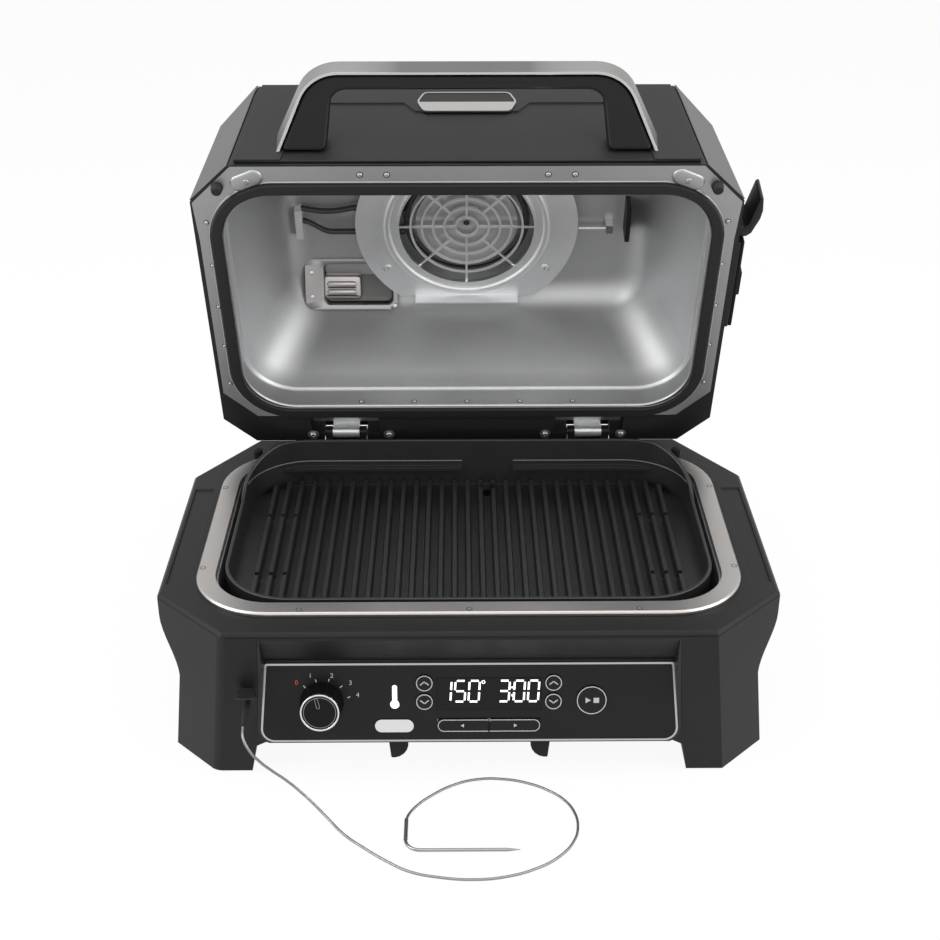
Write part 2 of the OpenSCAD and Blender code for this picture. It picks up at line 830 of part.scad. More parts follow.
module plate_tray(top_z) {
  in_x = plate_x - plate_wall;
  difference() {
    slab(plate_floor_z - plate_wall, top_z - plate_floor_z + plate_wall)
      rounded_box(plate_x, plate_f, plate_b, plate_r);
    slab(plate_floor_z, tall)
      rounded_box(in_x, plate_f + plate_wall, plate_b - plate_wall, plate_r - plate_wall);
    side_prism(0, 2 * tall) polygon([[-tall, plate_rim_z], [ramp_y, plate_rim_z],
      [ramp_y + ramp_l, top_z + eps], [-tall, top_z + eps]]);
  }
}

module plate_shelf() {
  shelf = 6;
  shelf_t = 4;
  in_x = plate_x - plate_wall;
  intersection() {
    difference() {
      slab(ring_z - shelf_t / 2, shelf_t) rounded_box(in_x, plate_f, plate_b - 2, plate_r - 2);
      slab(ring_z - shelf_t, 2 * shelf_t) rounded_box(in_x - shelf - 2, plate_f - 20,
        plate_b - plate_wall - shelf, plate_r - 2 * shelf);
      translate([drain_x - drain_w / 2, -tall, ring_z - shelf_t]) cube([drain_w, 2 * tall, 2 * shelf_t]);
    }
    translate([-tall, ramp_y + ramp_l, 0]) cube([2 * tall, tall, tall]);
  }
}

module plate_ridges() {
  inset = 9;
  rib_f = plate_f + plate_wall + 8;
  rib_b = plate_b - plate_wall - 8;
  intersection() {
    translate([0, rib_b, plate_floor_z]) rotate([90, 0, 0]) linear_extrude(rib_b - rib_f) ridges();
    slab(plate_floor_z - over, rib_h + 2 * over)
      rounded_box(plate_x - inset, plate_f + inset, plate_b - inset, plate_r - inset);
  }
}

module grill_plate() {
  gap = 6;
  gap_w = 3 * rib_pitch + 4;
  color("#232426") on_base() difference() {
    union() {
      plate_tray(ring_z + plate_back_h);
      plate_shelf();
      plate_ridges();
    }
    both_sides() for (y = [plate_f + 62, plate_b - 92])
      translate([rib_x - 3 * rib_pitch, y, plate_floor_z]) cube([gap_w, gap, rib_h + over]);
    translate([drain_x, drain_y, 0]) cylinder(r = drain_r, h = tall);
  }
}

// panel controls

module dial_knob() {
  crown = 3;
  face_r = knob_r - 2.6;
  mark_w = 1.8;
  mark_lean = 13;
  pin_l = 20;
  color("#1b1b1d") on_base() on_panel(knob_at) difference() {
    union() {
      translate([0, 0, panel_t + fit]) cylinder(r1 = knob_r + 1.5, r2 = knob_r - 1, h = knob_h - crown);
      translate([0, 0, panel_t + fit + knob_h - crown]) cylinder(r = face_r, h = crown - 0.6);
      translate([0, 0, -pin_l / 2]) cylinder(r = knob_pin_r, h = pin_l);
    }
    rotate([0, 0, mark_lean]) translate([-mark_w / 2, knob_r / 4, panel_t + knob_h - 1])
      cube([mark_w, knob_r - 8, 2]);
  }
}

module knob_ring() {
  ring_t = 3;
  color("#c9c9cb") on_base() on_panel(knob_at, panel_t + fit + knob_h - ring_t) difference() {
    cylinder(r = knob_r - 1, h = ring_t);
    translate([0, 0, -over]) cylinder(r = knob_r - 2.6, h = ring_t + 2 * over);
  }
}

module round_button(at, r) {
  on_base() on_panel(at, panel_t - button_depth) cylinder(r = r, h = button_depth + button_h);
}

module button_temp_up() {
  color("#26262a") round_button([temp_x, button_up_v], button_r);
}

module button_temp_down() {
  color("#26262a") round_button([temp_x, button_down_v], button_r);
}

module button_time_up() {
  color("#26262a") round_button([time_x, button_up_v], button_r);
}

module button_time_down() {
  color("#26262a") round_button([time_x, button_down_v], button_r);
}

module button_start() {
  color("#2c2c30") round_button(start_at, start_r);
}

module button_flavour() {
  color("#b5b5b8") on_base() on_panel(flavour_at, panel_t - button_depth)
    linear_extrude(button_depth + button_h) pill(flavour_w, pill_h);
}

module mode_button(x) {
  on_base() on_panel([x, pill_v], panel_t - button_depth) linear_extrude(button_depth + button_h)
    square([mode_w, pill_h], center = true);
}

module button_mode_left() {
  color("#1f1f22") mode_button(mode_left_x);
}

module button_mode_right() {
  color("#1f1f22") mode_button(mode_right_x);
}

// lid, in its shut position under on_lid

module lid_solid(low, inset = 0) {
  skin([lid_outline(0, inset), lid_outline(1 - lid_brow / lid_h, inset), lid_top_outline(inset)],
    [low, lid_top_z - lid_brow - inset, lid_top_z - inset]);
}

// outline of the bright rim plate, inside the shell's black edge
function frame_outline(grow = 0) =
  let (x = lid_x - frame_edge + grow, f = lid_f + frame_edge - grow,
    cut = lid_cut - frame_edge * diag, side = lid_x - frame_side + grow,
    b = seal_b + over + grow, rear_cut = 34,
    right = [[x - cut, f], [x, f + cut], [side, f + cut + 22], [side, b - rear_cut], [side - rear_cut, b]])
  concat(right, [for (i = [4:-1:0]) [-right[i][0], right[i][1]]]);

module hinge_pocket() {
  low = rim_z - over;
  high = hinge_z + leaf_up + leaf_t + fit;
  barrel_half = barrel_l / 2 + barrel_gap;
  leaf_half = barrel_l / 2 + leaf_wing + fit;
  both_sides() translate([hinge_x, 0, low]) {
    translate([-barrel_half, seal_b - 20, 0]) cube([2 * barrel_half, tall, high - low]);
    translate([-leaf_half, seal_b - 20, 0])
      cube([2 * leaf_half, hinge_y - leaf_back - seal_b + 20, high - low]);
  }
}

module smoke_window() {
  reach = 60;
  translate([smoke_face - 40, smoke_y - smoke_l / 2 + smoke_wall, smoke_z + smoke_wall])
    cube([reach, smoke_l - 2 * smoke_wall, smoke_h - 2 * smoke_wall]);
}

module lid_shell() {
  beam_x = lid_x - lid_rear_cut;
  beam_f = seal_b + 2 * over;
  beam_b = lid_b - (lid_wall + lid_lean_r) / 2;
  color("#18181a") on_lid() difference() {
    union() {
      difference() {
        lid_solid(rim_z);
        lid_solid(rim_z - over, lid_wall);
      }
      slab(rim_z, rim_frame_t) difference() {
        polygon(lid_outline(0));
        polygon(frame_outline(fit));
      }
      translate([-beam_x, beam_f, rim_z])
        cube([2 * beam_x, beam_b - beam_f, hinge_z - rim_z + beam_up]);
    }
    hinge_pocket();
    smoke_window();
  }
}

// corner face of an outline's right side, as a thin block across it
function facet_block(o) =
  let (side = o[2] - o[1], out = 8 * [side[1], -side[0]] / norm(side),
    a = mix(o[1], o[2], 0.05), b = mix(o[1], o[2], 0.99))
  [a + out, b + out, b - out, a - out];

module lid_facets() {
  thick = 1.2;
  margin = 2;
  color("#8d9092") on_lid() both_sides() intersection() {
    difference() {
      lid_solid(rim_z, -thick - fit);
      lid_solid(rim_z, -fit);
    }
    skin([facet_block(lid_outline(0)), facet_block(lid_outline(1 - lid_brow / lid_h)),
      facet_block(lid_top_outline())], [rim_z + margin, lid_top_z - lid_brow, lid_top_z]);
  }
}

module on_front_face() {
  translate([0, lid_f, rim_z]) rotate([90 - atan(face_slope), 0, 0]) children();
}

module lid_front() {
  low = lid_x - lid_cut - 4;
  high = low - lid_lean_x + 2;
  top = lid_h - 6;
  mid_low = 180;
  mid_high = 168;
  mid_deep = 1.4;
  step_v = top - 40;
  dip_v = top - 58;
  dip_half = 52;
  color("#232427") on_lid() on_front_face() difference() {
    translate([0, frame_edge, fit / 2]) linear_extrude(front_panel_t)
      polygon([[-low, 0], [low, 0], [high, top - over], [-high, top - over]]);
    translate([0, 2, front_panel_t - mid_deep]) linear_extrude(2 * front_panel_t)
      polygon([[-mid_low, -2], [mid_low, -2], [mid_high, step_v], [dip_half + 12, step_v],
        [dip_half, dip_v], [-dip_half, dip_v], [-dip_half - 12, step_v], [-mid_high, step_v]]);
  }
}

module badge() {
  half = 51;
  tip = 9;
  rise = 15.6;
  color("#9a9b9e") on_lid() on_front_face() translate([0, lid_h - 40, fit / 2 + front_panel_t])
    linear_extrude(1.5) polygon([[-half, 0], [tip - half, -rise], [half - tip, -rise], [half, 0],
      [half - tip, rise], [tip - half, rise]]);
}

module lid_mouth() {
  rounded_box(mouth_x + mouth_edge, mouth_f - mouth_edge, mouth_b + mouth_edge, mouth_r);
}

module lid_frame() {
  color("#a7a9ab") on_lid() difference() {
    slab(rim_z, rim_frame_t) polygon(frame_outline());
    slab(rim_z - over, rim_frame_t + 2 * over) lid_mouth();
  }
}

module cavity(grow, low) {
  r = cavity_r + grow;
  side = 6 + grow;
  step = liner_step + grow;
  ball_x = mouth_x - cavity_r + 2;
  hull() {
    slab(low, side) rounded_box(mouth_x + side, mouth_f - side, mouth_b + side, mouth_r + grow);
    for (x = [-ball_x, ball_x], y = [mouth_f + cavity_r - 4, mouth_b - cavity_r + 4])
      translate([x, y, ceiling_z - cavity_r]) sphere(r, $fn = 32);
  }
  slab(low, liner_z - low + liner_step_h + grow)
    rounded_box(mouth_x + step, mouth_f - step, mouth_b + step, mouth_r + grow);
}

module lid_liner() {
  shaft_hole = 8;
  port = [60, 60, 40];
  color("#c2c4c6") on_lid() difference() {
    cavity(sheet, liner_z);
    cavity(0, liner_z - over);
    translate([0, fan_y, ceiling_z - 5]) cylinder(r = shaft_hole, h = 20);
    on_smoke_outlet() outlet_block(fit);
    translate([smoke_face - port[0], smoke_y - port[1] / 2, smoke_z + 20]) cube(port);
  }
}

module gasket() {
  color("#0f0f10") on_lid() difference() {
    slab(ring_z + fit, rim_z - ring_z - fit) rounded_box(seal_x, seal_f, seal_b, seal_r);
    slab(ring_z - over, rim_gap) lid_mouth();
  }
}

module rim_screws() {
  side_x = (seal_x + lid_x - frame_side) / 2;
  front_v = lid_f + 11;
  near_x = 78;
  far_x = 104;
  flange_x = 59;
  flange_y = mouth_b + liner_step;
  color("#d0d0d0") on_lid() {
    translate([0, 0, rim_z]) mirror([0, 0, 1]) both_sides() {
      for (y = [-118, -64, -10, 44, 98]) translate([side_x, y, 0]) screw_head(2.2);
      for (x = [near_x, far_x]) translate([x, front_v, 0]) screw_head();
    }
    for (i = [-2:2]) translate([i * flange_x, flange_y, liner_z + liner_step_h / 2]) rotate([90, 0, 0])
      screw_head(2.2);
  }
}

module lid_bumpers() {
  peg_r = 6;
  peg_h = rim_gap - 2 * fit;
  reach = ring_r + peg_r + 2 * fit;
  color("#0e0e0f") on_lid() both_sides()
    translate([ring_x - ring_r + reach * cos(50), ring_f + ring_r - reach * sin(50), rim_z - peg_h])
      cylinder(r = peg_r, h = peg_h);
}

module corner_pads() {
  pad_w = 26;
  pad_h = 11;
  pad_t = 1.2;
  pad_at = [lid_x - 58, lid_f + 17];
  color("#b4b6b8") on_lid() both_sides() translate([pad_at[0], pad_at[1], rim_z - pad_t])
    rotate([0, 0, 24]) {
      linear_extrude(pad_t) pill(pad_w, pad_h);
      mirror([0, 0, 1]) screw_head();
    }
}

// handle

// side view of the handle: it slopes from its feet up to the grip
module handle_side(out) {
  foot_top_z = leg_foot_z + leg_foot_h;
  polygon([[handle_y, leg_foot_z], [handle_face + face_slope * (foot_top_z - rim_z), foot_top_z],
    [grip_y - out, grip_bottom + grip_h], [grip_y - out, grip_bottom]]);
}

// half of an arch edge from the middle to a foot: a bend of radius r about its place, then a splayed leg
function arch_edge(bend_x, bend_s, r, splay, foot_s) =
  let (steps = 10, turn = 90 - splay, end = [bend_x + r * sin(turn), bend_s - r * cos(turn)])
  concat([for (i = [0:steps]) [bend_x + r * sin(turn * i / steps), bend_s - r * cos(turn * i / steps)]],
    [[end[0] + (foot_s - end[1]) * tan(splay), foot_s]]);

function outer_edge(grow) = arch_edge(grip_w / 2, grip_r, grip_r + grow, leg_splay, handle_l + 20);

function inner_edge() =
  let (r = grip_r * 0.4) arch_edge(leg_inner_x - r, grip_t + r, r, 4, handle_l + 20);

// the half outline between two edges, seen from above, on both sides
module arch(outer, inner) {
  half = [for (p = concat([[0, outer[0][1]]], outer, [for (i = [len(inner) - 1:-1:0]) inner[i]],
    [[0, inner[0][1]]])) [p[0], grip_y + p[1] * handle_slope]];
  slab(rim_z, lid_h) union() {
    polygon(half);
    mirror([1, 0]) polygon(half);
  }
}

module handle_grip() {
  color("#131314") on_lid() intersection() {
    arch(outer_edge(0), inner_edge());
    side_prism(0, 2 * tall) handle_side(0);
  }
}

module handle_strap() {
  color("#b2b3b5") on_lid() intersection() {
    arch(outer_edge(fit + strap_t), outer_edge(fit));
    side_prism(0, 2 * tall) handle_side(fit + strap_t);
  }
}

// fan and heater

module flat_ring(r, band, z, h) {
  translate([0, 0, z]) linear_extrude(h) difference() {
    circle(r + band / 2, $fn = 96);
    circle(r - band / 2, $fn = 96);
  }
}

module fan_guard() {
  t = 1.6;
  wire = 2.4;
  bead_r = 88;
  spoke_n = 8;
  ring_gap = grille_r / 6;
  lip_w = 116;
  lip_h = 15;
  color("#a9abad") on_lid() translate([0, fan_y, guard_z]) {
    slab(0, t) difference() {
      intersection() {
        circle(guard_r, $fn = 96);
        square([4 * guard_r, 2 * lip_y], center = true);
      }
      circle(grille_r, $fn = 96);
    }
    flat_ring(bead_r, 6, -1.4, 2);
    flat_ring(grille_r + 1.25, 2.5, -3, 4);
    translate([-lip_w / 2, lip_y - t, 1 - lip_h]) cube([lip_w, t, lip_h]);
    for (i = [1:5]) flat_ring(i * ring_gap, wire, 0, wire);
    for (i = [0:spoke_n - 1]) let (start = i % 2 == 0 ? ring_gap : 2 * ring_gap)
      rotate([0, 0, i * 360 / spoke_n]) translate([start, -wire / 2, 0.2])
        cube([grille_r - start + 1, wire, wire - 0.4]);
    for (x = [-post_x, post_x], y = [-56, 56]) translate([x, y, 0]) mirror([0, 0, 1]) screw_head(4, 2);
    for (x = [-post_x, post_x], y = [-40, 40]) translate([x, y, t])
      cylinder(r = 4, h = guard_drop - t - fit);
  }
}

module fan() {
  hub_r = 14;
  blade_h = 8;
  blade_t = 1.6;
  disc_t = 1.2;
  color("#8a8c8f") on_lid() translate([0, fan_y, guard_z + fan_lift]) difference() {
    union() {
      cylinder(r = hub_r, h = blade_h);
      cylinder(r = fan_r, h = disc_t);
      for (i = [0:fan_blades - 1]) rotate([0, 0, i * 360 / fan_blades])
        translate([hub_r - 2, -blade_t / 2, 0]) rotate([0, 0, 16])
          cube([fan_r - hub_r - 2, blade_t, blade_h]);
    }
    translate([0, 0, -over]) cylinder(r = pin_r + pin_fit, h = 2 * blade_h);
  }
}

module fan_motor() {
  space = roof_space - sheet - lid_wall;
  motor_r = 34;
  color("#6d6f72") on_lid() translate([0, fan_y, 0]) {
    translate([0, 0, ceiling_z + sheet + fit]) cylinder(r = motor_r, h = space - 1 - 2 * fit);
    translate([0, 0, guard_z + fan_lift]) cylinder(r = pin_r, h = ceiling_z - guard_z);
  }
}

module heating_element() {
  leg_y = 12;
  leg_l = element_reach - sqrt(element_r * element_r - leg_y * leg_y);
  color("#d4d5d6") on_lid() translate([0, fan_y, guard_z + leg_y]) {
    rotate_extrude($fn = 64) translate([element_r, 0]) circle(element_tube, $fn = 20);
    for (y = [-leg_y, leg_y]) translate([-element_reach, y, 0]) rotate([0, 90, 0])
      cylinder(r = element_tube - 0.4, h = leg_l, $fn = 20);
  }
}

module element_bracket() {
  bracket_t = 8;
  bracket_w = 38;
  drop = guard_drop - 4;
  color("#9c9ea0") on_lid()
    translate([-element_reach - bracket_t, fan_y - bracket_w / 2, ceiling_z - drop])
      cube([bracket_t, bracket_w, drop - fit]);
}

module temp_sensor() {
  rod_l = 34;
  sensor_in = 116;
  clip = [8, 10, 12];
  color("#cfd0d1") on_lid()
    translate([mouth_x - sensor_in, fan_y + clip[1], ceiling_z - clip[0]]) {
    rotate([0, 90, 0]) cylinder(r = 2, h = rod_l);
    translate([rod_l - 4, -clip[1] / 2, clip[0] - clip[2]]) cube([clip[0], clip[1], clip[2] - fit]);
  }
}

module vent_bracket() {
  size = [5, 44, 26];
  color("#151516") on_lid() translate([mouth_x - 66, fan_y - 28, ceiling_z - size[2]])
    cube([size[0], size[1], size[2] - fit]);
}

module on_smoke_outlet() {
  translate([outlet_x, outlet_y, outlet_z]) rotate([-outlet_lean, 0, 0]) children();
}

module outlet_block(grow) {
  translate([-outlet_w / 2 - grow, -outlet_l / 2 - grow, -outlet_deep - grow])
    cube([outlet_w + 2 * grow, outlet_l + 2 * grow, outlet_h + 2 * grow]);
}

module smoke_outlet() {
  rim = 11;
  roof_z = outlet_h - outlet_deep - outlet_roof;
  color("#8f8d8b") on_lid() on_smoke_outlet() difference() {
    outlet_block(0);
    translate([-outlet_w / 2 + 1.7 * rim, rim / 2 - outlet_l / 2, -outlet_deep - over])
      cube([outlet_w - 2.5 * rim, outlet_l - rim, outlet_deep + roof_z + over]);
  }
}

module smoke_louvre() {
  slat_l = 44;
  slat_x = -34;
  pitch = 15;
  roof_z = outlet_h - outlet_deep - outlet_roof;
  color("#b5b0ac") on_lid() on_smoke_outlet() for (y = [-6, pitch - 6])
    translate([slat_x, y, roof_z]) rotate([-90, 0, 0]) rotate([0, 90, 0])
      linear_extrude(slat_l) polygon([[0, 0], [8, 0], [8, 2], [5, 12], [0, 12]]);
}

// smoke box on the right side

function side_face(z) = lid_x - side_slope * (z - rim_z);

module smoke_box() {
  top_z = smoke_z + smoke_h;
  out = smoke_face - door_t - fit;
  color("#1c1c1e") on_lid() difference() {
    translate([0, smoke_y + smoke_l / 2, 0]) rotate([90, 0, 0]) linear_extrude(smoke_l)
      polygon([[side_face(smoke_z), smoke_z], [out, smoke_z], [out, top_z], [side_face(top_z), top_z]]);
    smoke_window();
  }
}

module smoke_door() {
  margin = 2;
  tab = [3, 30, 12];
  color("#121213") on_lid() translate([smoke_face - door_t, smoke_y - smoke_l / 2, smoke_z + margin]) {
    cube([door_t, smoke_l, smoke_h - 2 * margin]);
    translate([door_t / 2, 0, smoke_h - 2 * margin]) rotate([-90, 0, 0])
      cylinder(r = door_t / 2, h = smoke_l);
    translate([door_t - eps, (smoke_l - tab[1]) / 2, margin]) cube(tab);
  }
}

module side_hook() {
  low = smoke_z + 6;
  high = smoke_z + 40;
  root = side_face(high);
  color("#151517") on_lid() intersection() {
    slab(low, high - low) translate([lid_x, smoke_y - smoke_l / 2])
      polygon([[root - lid_x, -42], [4, -42], [4, -16], [9, -12], [13, -20], [14, -46], [18, -48],
        [21, -28], [16, -6], [root - lid_x, -4]]);
    translate([0, tall, 0]) rotate([90, 0, 0]) linear_extrude(2 * tall)
      polygon([[side_face(low), low], [tall, low], [tall, high], [side_face(high), high]]);
  }
}

// probe

function unit(v) = v / norm(v);

module cable_tube(route, r) {
  sides = 8;
  n = len(route);
  along = [for (i = [0:n - 1]) unit(route[min(i + 1, n - 1)] - route[max(i - 1, 0)])];
  across = [for (t = along) unit(cross(t, abs(t[2]) > 0.9 ? [1, 0, 0] : [0, 0, 1]))];
  rings = [for (i = [0:n - 1]) let (u = across[i], v = cross(along[i], u))
    for (k = [0:sides - 1]) route[i] + r * (cos(k * 360 / sides) * u + sin(k * 360 / sides) * v)];
  polyhedron(rings, concat([[for (k = [0:sides - 1]) k]],
    [[for (k = [sides - 1:-1:0]) (n - 1) * sides + k]],
    [for (i = [0:n - 2], k = [0:sides - 1]) let (a = i * sides + k, b = i * sides + (k + 1) % sides)
      [a, a + sides, b + sides, b]]));
}

module probe_plug() {
  barrel = plug_l * 0.6;
  tail_r = cable_d / 2 + 0.4;
  color("#1a1a1b") on_base() translate([jack_x, jack_y - jack_flange, jack_z]) rotate([90, 0, 0]) {
    cylinder(r = plug_r, h = barrel);
    translate([0, 0, barrel - eps])
      cylinder(r1 = plug_r, r2 = tail_r, h = plug_l - barrel + jack_flange + eps);
    translate([0, 0, -10]) cylinder(r = 1.2, h = 11);
  }
}

module probe_cable() {
  color("#2a2a2c") on_base() cable_tube(cable_route, cable_d / 2);
}

module probe_spike() {
  bend_x = crimp_at[0] + spike_bend_r;
  bend_y = crimp_at[1] - crimp_l;
  shaft = spike_l - spike_tip_l;
  color("#c8c9cb") on_base() translate([0, 0, crimp_r + fit]) {
    translate([crimp_at[0], crimp_at[1], 0]) rotate([90, 0, 0]) cylinder(r = crimp_r, h = crimp_l);
    translate([bend_x, bend_y, 0]) rotate([0, 0, 180])
      rotate_extrude(angle = 90) translate([spike_bend_r, 0]) circle(spike_r, $fn = 20);
    translate([bend_x, bend_y - spike_bend_r, 0]) rotate([0, 90, 0]) {
      cylinder(r = spike_r, h = shaft);
      translate([0, 0, shaft]) cylinder(r1 = spike_r, r2 = 0.3, h = spike_tip_l);
    }
  }
}

base_shell();
feet();
floor_pan();
top_deck();
trim_ring();
ring_screws();
hearth_liner();
plate_studs();
panel_housing();
control_panel();
panel_trim();
display_lens();
stand_hooks();
hinge_brackets();
hinge_pins();
probe_jack();
power_inlet();
tray_guide();
grill_plate();
dial_knob();
knob_ring();
button_temp_up();
button_temp_down();
button_time_up();
button_time_down();
button_start();
button_flavour();
button_mode_left();
button_mode_right();
jack_flap();
grease_tray();
lid_shell();
lid_facets();
lid_front();
badge();
lid_frame();
lid_liner();
gasket();
rim_screws();
lid_bumpers();
handle_grip();
handle_strap();
hinge_leaves();
fan_guard();
fan();
fan_motor();
heating_element();
element_bracket();
temp_sensor();
vent_bracket();
smoke_outlet();
smoke_louvre();
smoke_box();
smoke_door();
side_hook();
corner_pads();
rear_stops();
probe_plug();
probe_cable();
probe_spike();
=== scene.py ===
import json
import math

import bmesh
import bpy
from bpy.props import FloatProperty, FloatVectorProperty, IntProperty, PointerProperty
from bpy.types import Operator, Panel, PropertyGroup
from mathutils import Matrix, Vector


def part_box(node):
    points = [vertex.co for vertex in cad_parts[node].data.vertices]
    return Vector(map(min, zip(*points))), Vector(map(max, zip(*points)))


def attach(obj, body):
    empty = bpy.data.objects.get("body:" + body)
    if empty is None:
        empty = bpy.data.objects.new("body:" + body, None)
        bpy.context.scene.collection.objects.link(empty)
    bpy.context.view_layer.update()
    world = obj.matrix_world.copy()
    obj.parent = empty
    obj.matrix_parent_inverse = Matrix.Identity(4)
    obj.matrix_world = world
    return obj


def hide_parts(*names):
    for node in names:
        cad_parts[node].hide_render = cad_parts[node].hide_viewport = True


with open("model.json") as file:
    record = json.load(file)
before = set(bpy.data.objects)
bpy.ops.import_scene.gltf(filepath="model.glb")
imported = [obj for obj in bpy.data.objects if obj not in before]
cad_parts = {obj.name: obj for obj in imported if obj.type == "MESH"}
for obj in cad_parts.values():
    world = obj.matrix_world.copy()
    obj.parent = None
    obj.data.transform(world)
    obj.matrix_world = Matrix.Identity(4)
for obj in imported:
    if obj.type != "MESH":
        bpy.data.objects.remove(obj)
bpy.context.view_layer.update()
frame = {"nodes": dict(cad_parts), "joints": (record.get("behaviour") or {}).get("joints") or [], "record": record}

bl_info = {
    "name": "Countertop grill finish",
    "version": (1, 0, 0),
    "blender": (4, 5, 0),
    "location": "View3D > Sidebar > Grill",
    "description": "Soft edges, finishes, panel marks, probe cable and stage for the grill",
    "category": "Object",
}

NODES = frame["nodes"]
JOINTS = {joint["name"]: joint for joint in frame["joints"]}
MM = 0.001
HERE = Matrix.Identity(4)
# Corners closer than this are one, in metres, and faces that turn by less than this are flat.
MERGE = 2e-5
FLAT = math.radians(0.5)

# Places that the pieces share, in millimetres.
OPEN_ANGLE = 72.0
HINGE_Y = 181.0
HINGE_Z = 195.0
KNOB_AT = (-141.0, 38.0)
RIM_Z = 186.0
LID_FRONT_Y = -185.0
FACE_SLOPE = 15.0 / 164.0
FRAME_Y = JOINTS["lid_hinge"]["pos_m"][1] / MM - HINGE_Y


def metres(values):
    """Sizes from millimetres."""
    return [value * MM for value in values]


def shift(x=0.0, y=0.0, z=0.0):
    """A move, in millimetres."""
    return Matrix.Translation(metres((x, y, z)))


def turn(degrees, axis):
    """A turn about an axis through the origin."""
    return Matrix.Rotation(math.radians(degrees), 4, axis)


def panel_place():
    """The control panel's own axes: across, up the panel and out of it."""
    out = Vector(JOINTS["dial_turn"]["axis"])
    across = Vector((1, 0, 0))
    up = out.cross(across)
    corner = Vector(JOINTS["dial_turn"]["pos_m"]) - (across * KNOB_AT[0] + up * KNOB_AT[1]) * MM
    place = Matrix((across, up, out)).transposed().to_4x4()
    place.translation = corner
    return place


PANEL = panel_place()
BASE = shift(0, FRAME_Y, 0)
FACING_DOWN = turn(180, "X")
LID = shift(0, FRAME_Y + HINGE_Y, HINGE_Z) @ turn(-OPEN_ANGLE, "X") @ shift(0, -HINGE_Y, -HINGE_Z)
FRONT_FACE = LID @ shift(0, LID_FRONT_Y, RIM_Z) @ turn(90 - math.degrees(math.atan(FACE_SLOPE)), "X")


def tint(name, about, rgb):
    """A colour setting."""
    return FloatVectorProperty(name=name, description=about, subtype="COLOR", size=3, default=rgb, min=0, max=1)


def length(name, about, default, low, high):
    """A size setting, in metres."""
    return FloatProperty(name=name, description=about, unit="LENGTH", default=default, min=low, max=high)


class GrillColours(PropertyGroup):
    """Colours of the finishes."""

    body: tint("Body", "Moulded base", (0.0075, 0.0075, 0.0078))
    deck: tint("Deck", "Top plate of the base", (0.0078, 0.0079, 0.0083))
    lid: tint("Lid", "Painted lid shell", (0.0065, 0.0066, 0.007))
    lid_front: tint("Lid front", "Painted front plate of the lid", (0.0086, 0.0087, 0.0092))
    facet: tint("Facets", "Satin corner plates of the lid", (0.115, 0.117, 0.119))
    ring: tint("Ring", "Brushed steel ring", (0.45, 0.432, 0.42))
    liner: tint("Liner", "Bright sheet inside the lid", (0.52, 0.523, 0.527))
    plate: tint("Plate", "Non-stick coat", (0.009, 0.009, 0.0095))
    rubber: tint("Rubber", "Seal and feet", (0.0065, 0.0065, 0.0068))
    print: tint("Marks", "Marks on the panel", (0.42, 0.42, 0.425))
    warning: tint("Off mark", "Mark at the dial's rest place", (0.62, 0.05, 0.03))


class GrillSizes(PropertyGroup):
    """Sizes of the added details, in metres."""

    mark: length("Line", "Width of a printed line", 0.0011, 0.0005, 0.002)
    print_t: length("Print", "Thickness of a printed mark", 0.00015, 0.0001, 0.0004)
    digit_h: length("Digit", "Height of a display digit", 0.0212, 0.015, 0.024)
    cable_d: length("Cable", "Diameter of the probe's cable", 0.0026, 0.002, 0.003)
    cable_sides: IntProperty(name="Cable sides", description="Sides of the cable's tube", default=4, min=2, max=8)


def colours():
    return bpy.context.scene.grill_colours


def sizes():
    return bpy.context.scene.grill_sizes


class Value:
    """A socket in a tree of nodes. Sums, differences and products of values add Math nodes."""

    def __init__(self, nodes, socket):
        self.nodes = nodes
        self.socket = socket

    def _math(self, operation, first, second):
        return self.nodes.node("ShaderNodeMath", {"operation": operation}, {0: first, 1: second})

    def __add__(self, other):
        return self._math("ADD", self, other)

    def __radd__(self, other):
        return self._math("ADD", other, self)

    def __sub__(self, other):
        return self._math("SUBTRACT", self, other)

    def __rsub__(self, other):
        return self._math("SUBTRACT", other, self)

    def __mul__(self, other):
        return self._math("MULTIPLY", self, other)

    def __rmul__(self, other):
        return self._math("MULTIPLY", other, self)


class Nodes:
    """A tree of shader nodes."""

    def __init__(self, tree):
        self.tree = tree

    def node(self, kind, settings, sockets, output=0):
        """A node of a kind, with its settings and the values or links of its sockets."""
        made = self.tree.nodes.new(kind)
        for name, value in settings.items():
            setattr(made, name, value)
        for key, value in sockets.items():
            self.feed(made.inputs[key], value)
        return Value(self, made.outputs[output])

    def feed(self, socket, value):
        if isinstance(value, Value):
            self.tree.links.new(value.socket, socket)
        else:
            socket.default_value = value

    def seen(self):
        """1 for what the camera sees, straight or in a mirror, and 0 for other light."""
        camera, mirror, through = (self.node("ShaderNodeLightPath", {}, {}, "Is %s Ray" % kind)
                                   for kind in ("Camera", "Glossy", "Transmission"))
        return camera + mirror + through


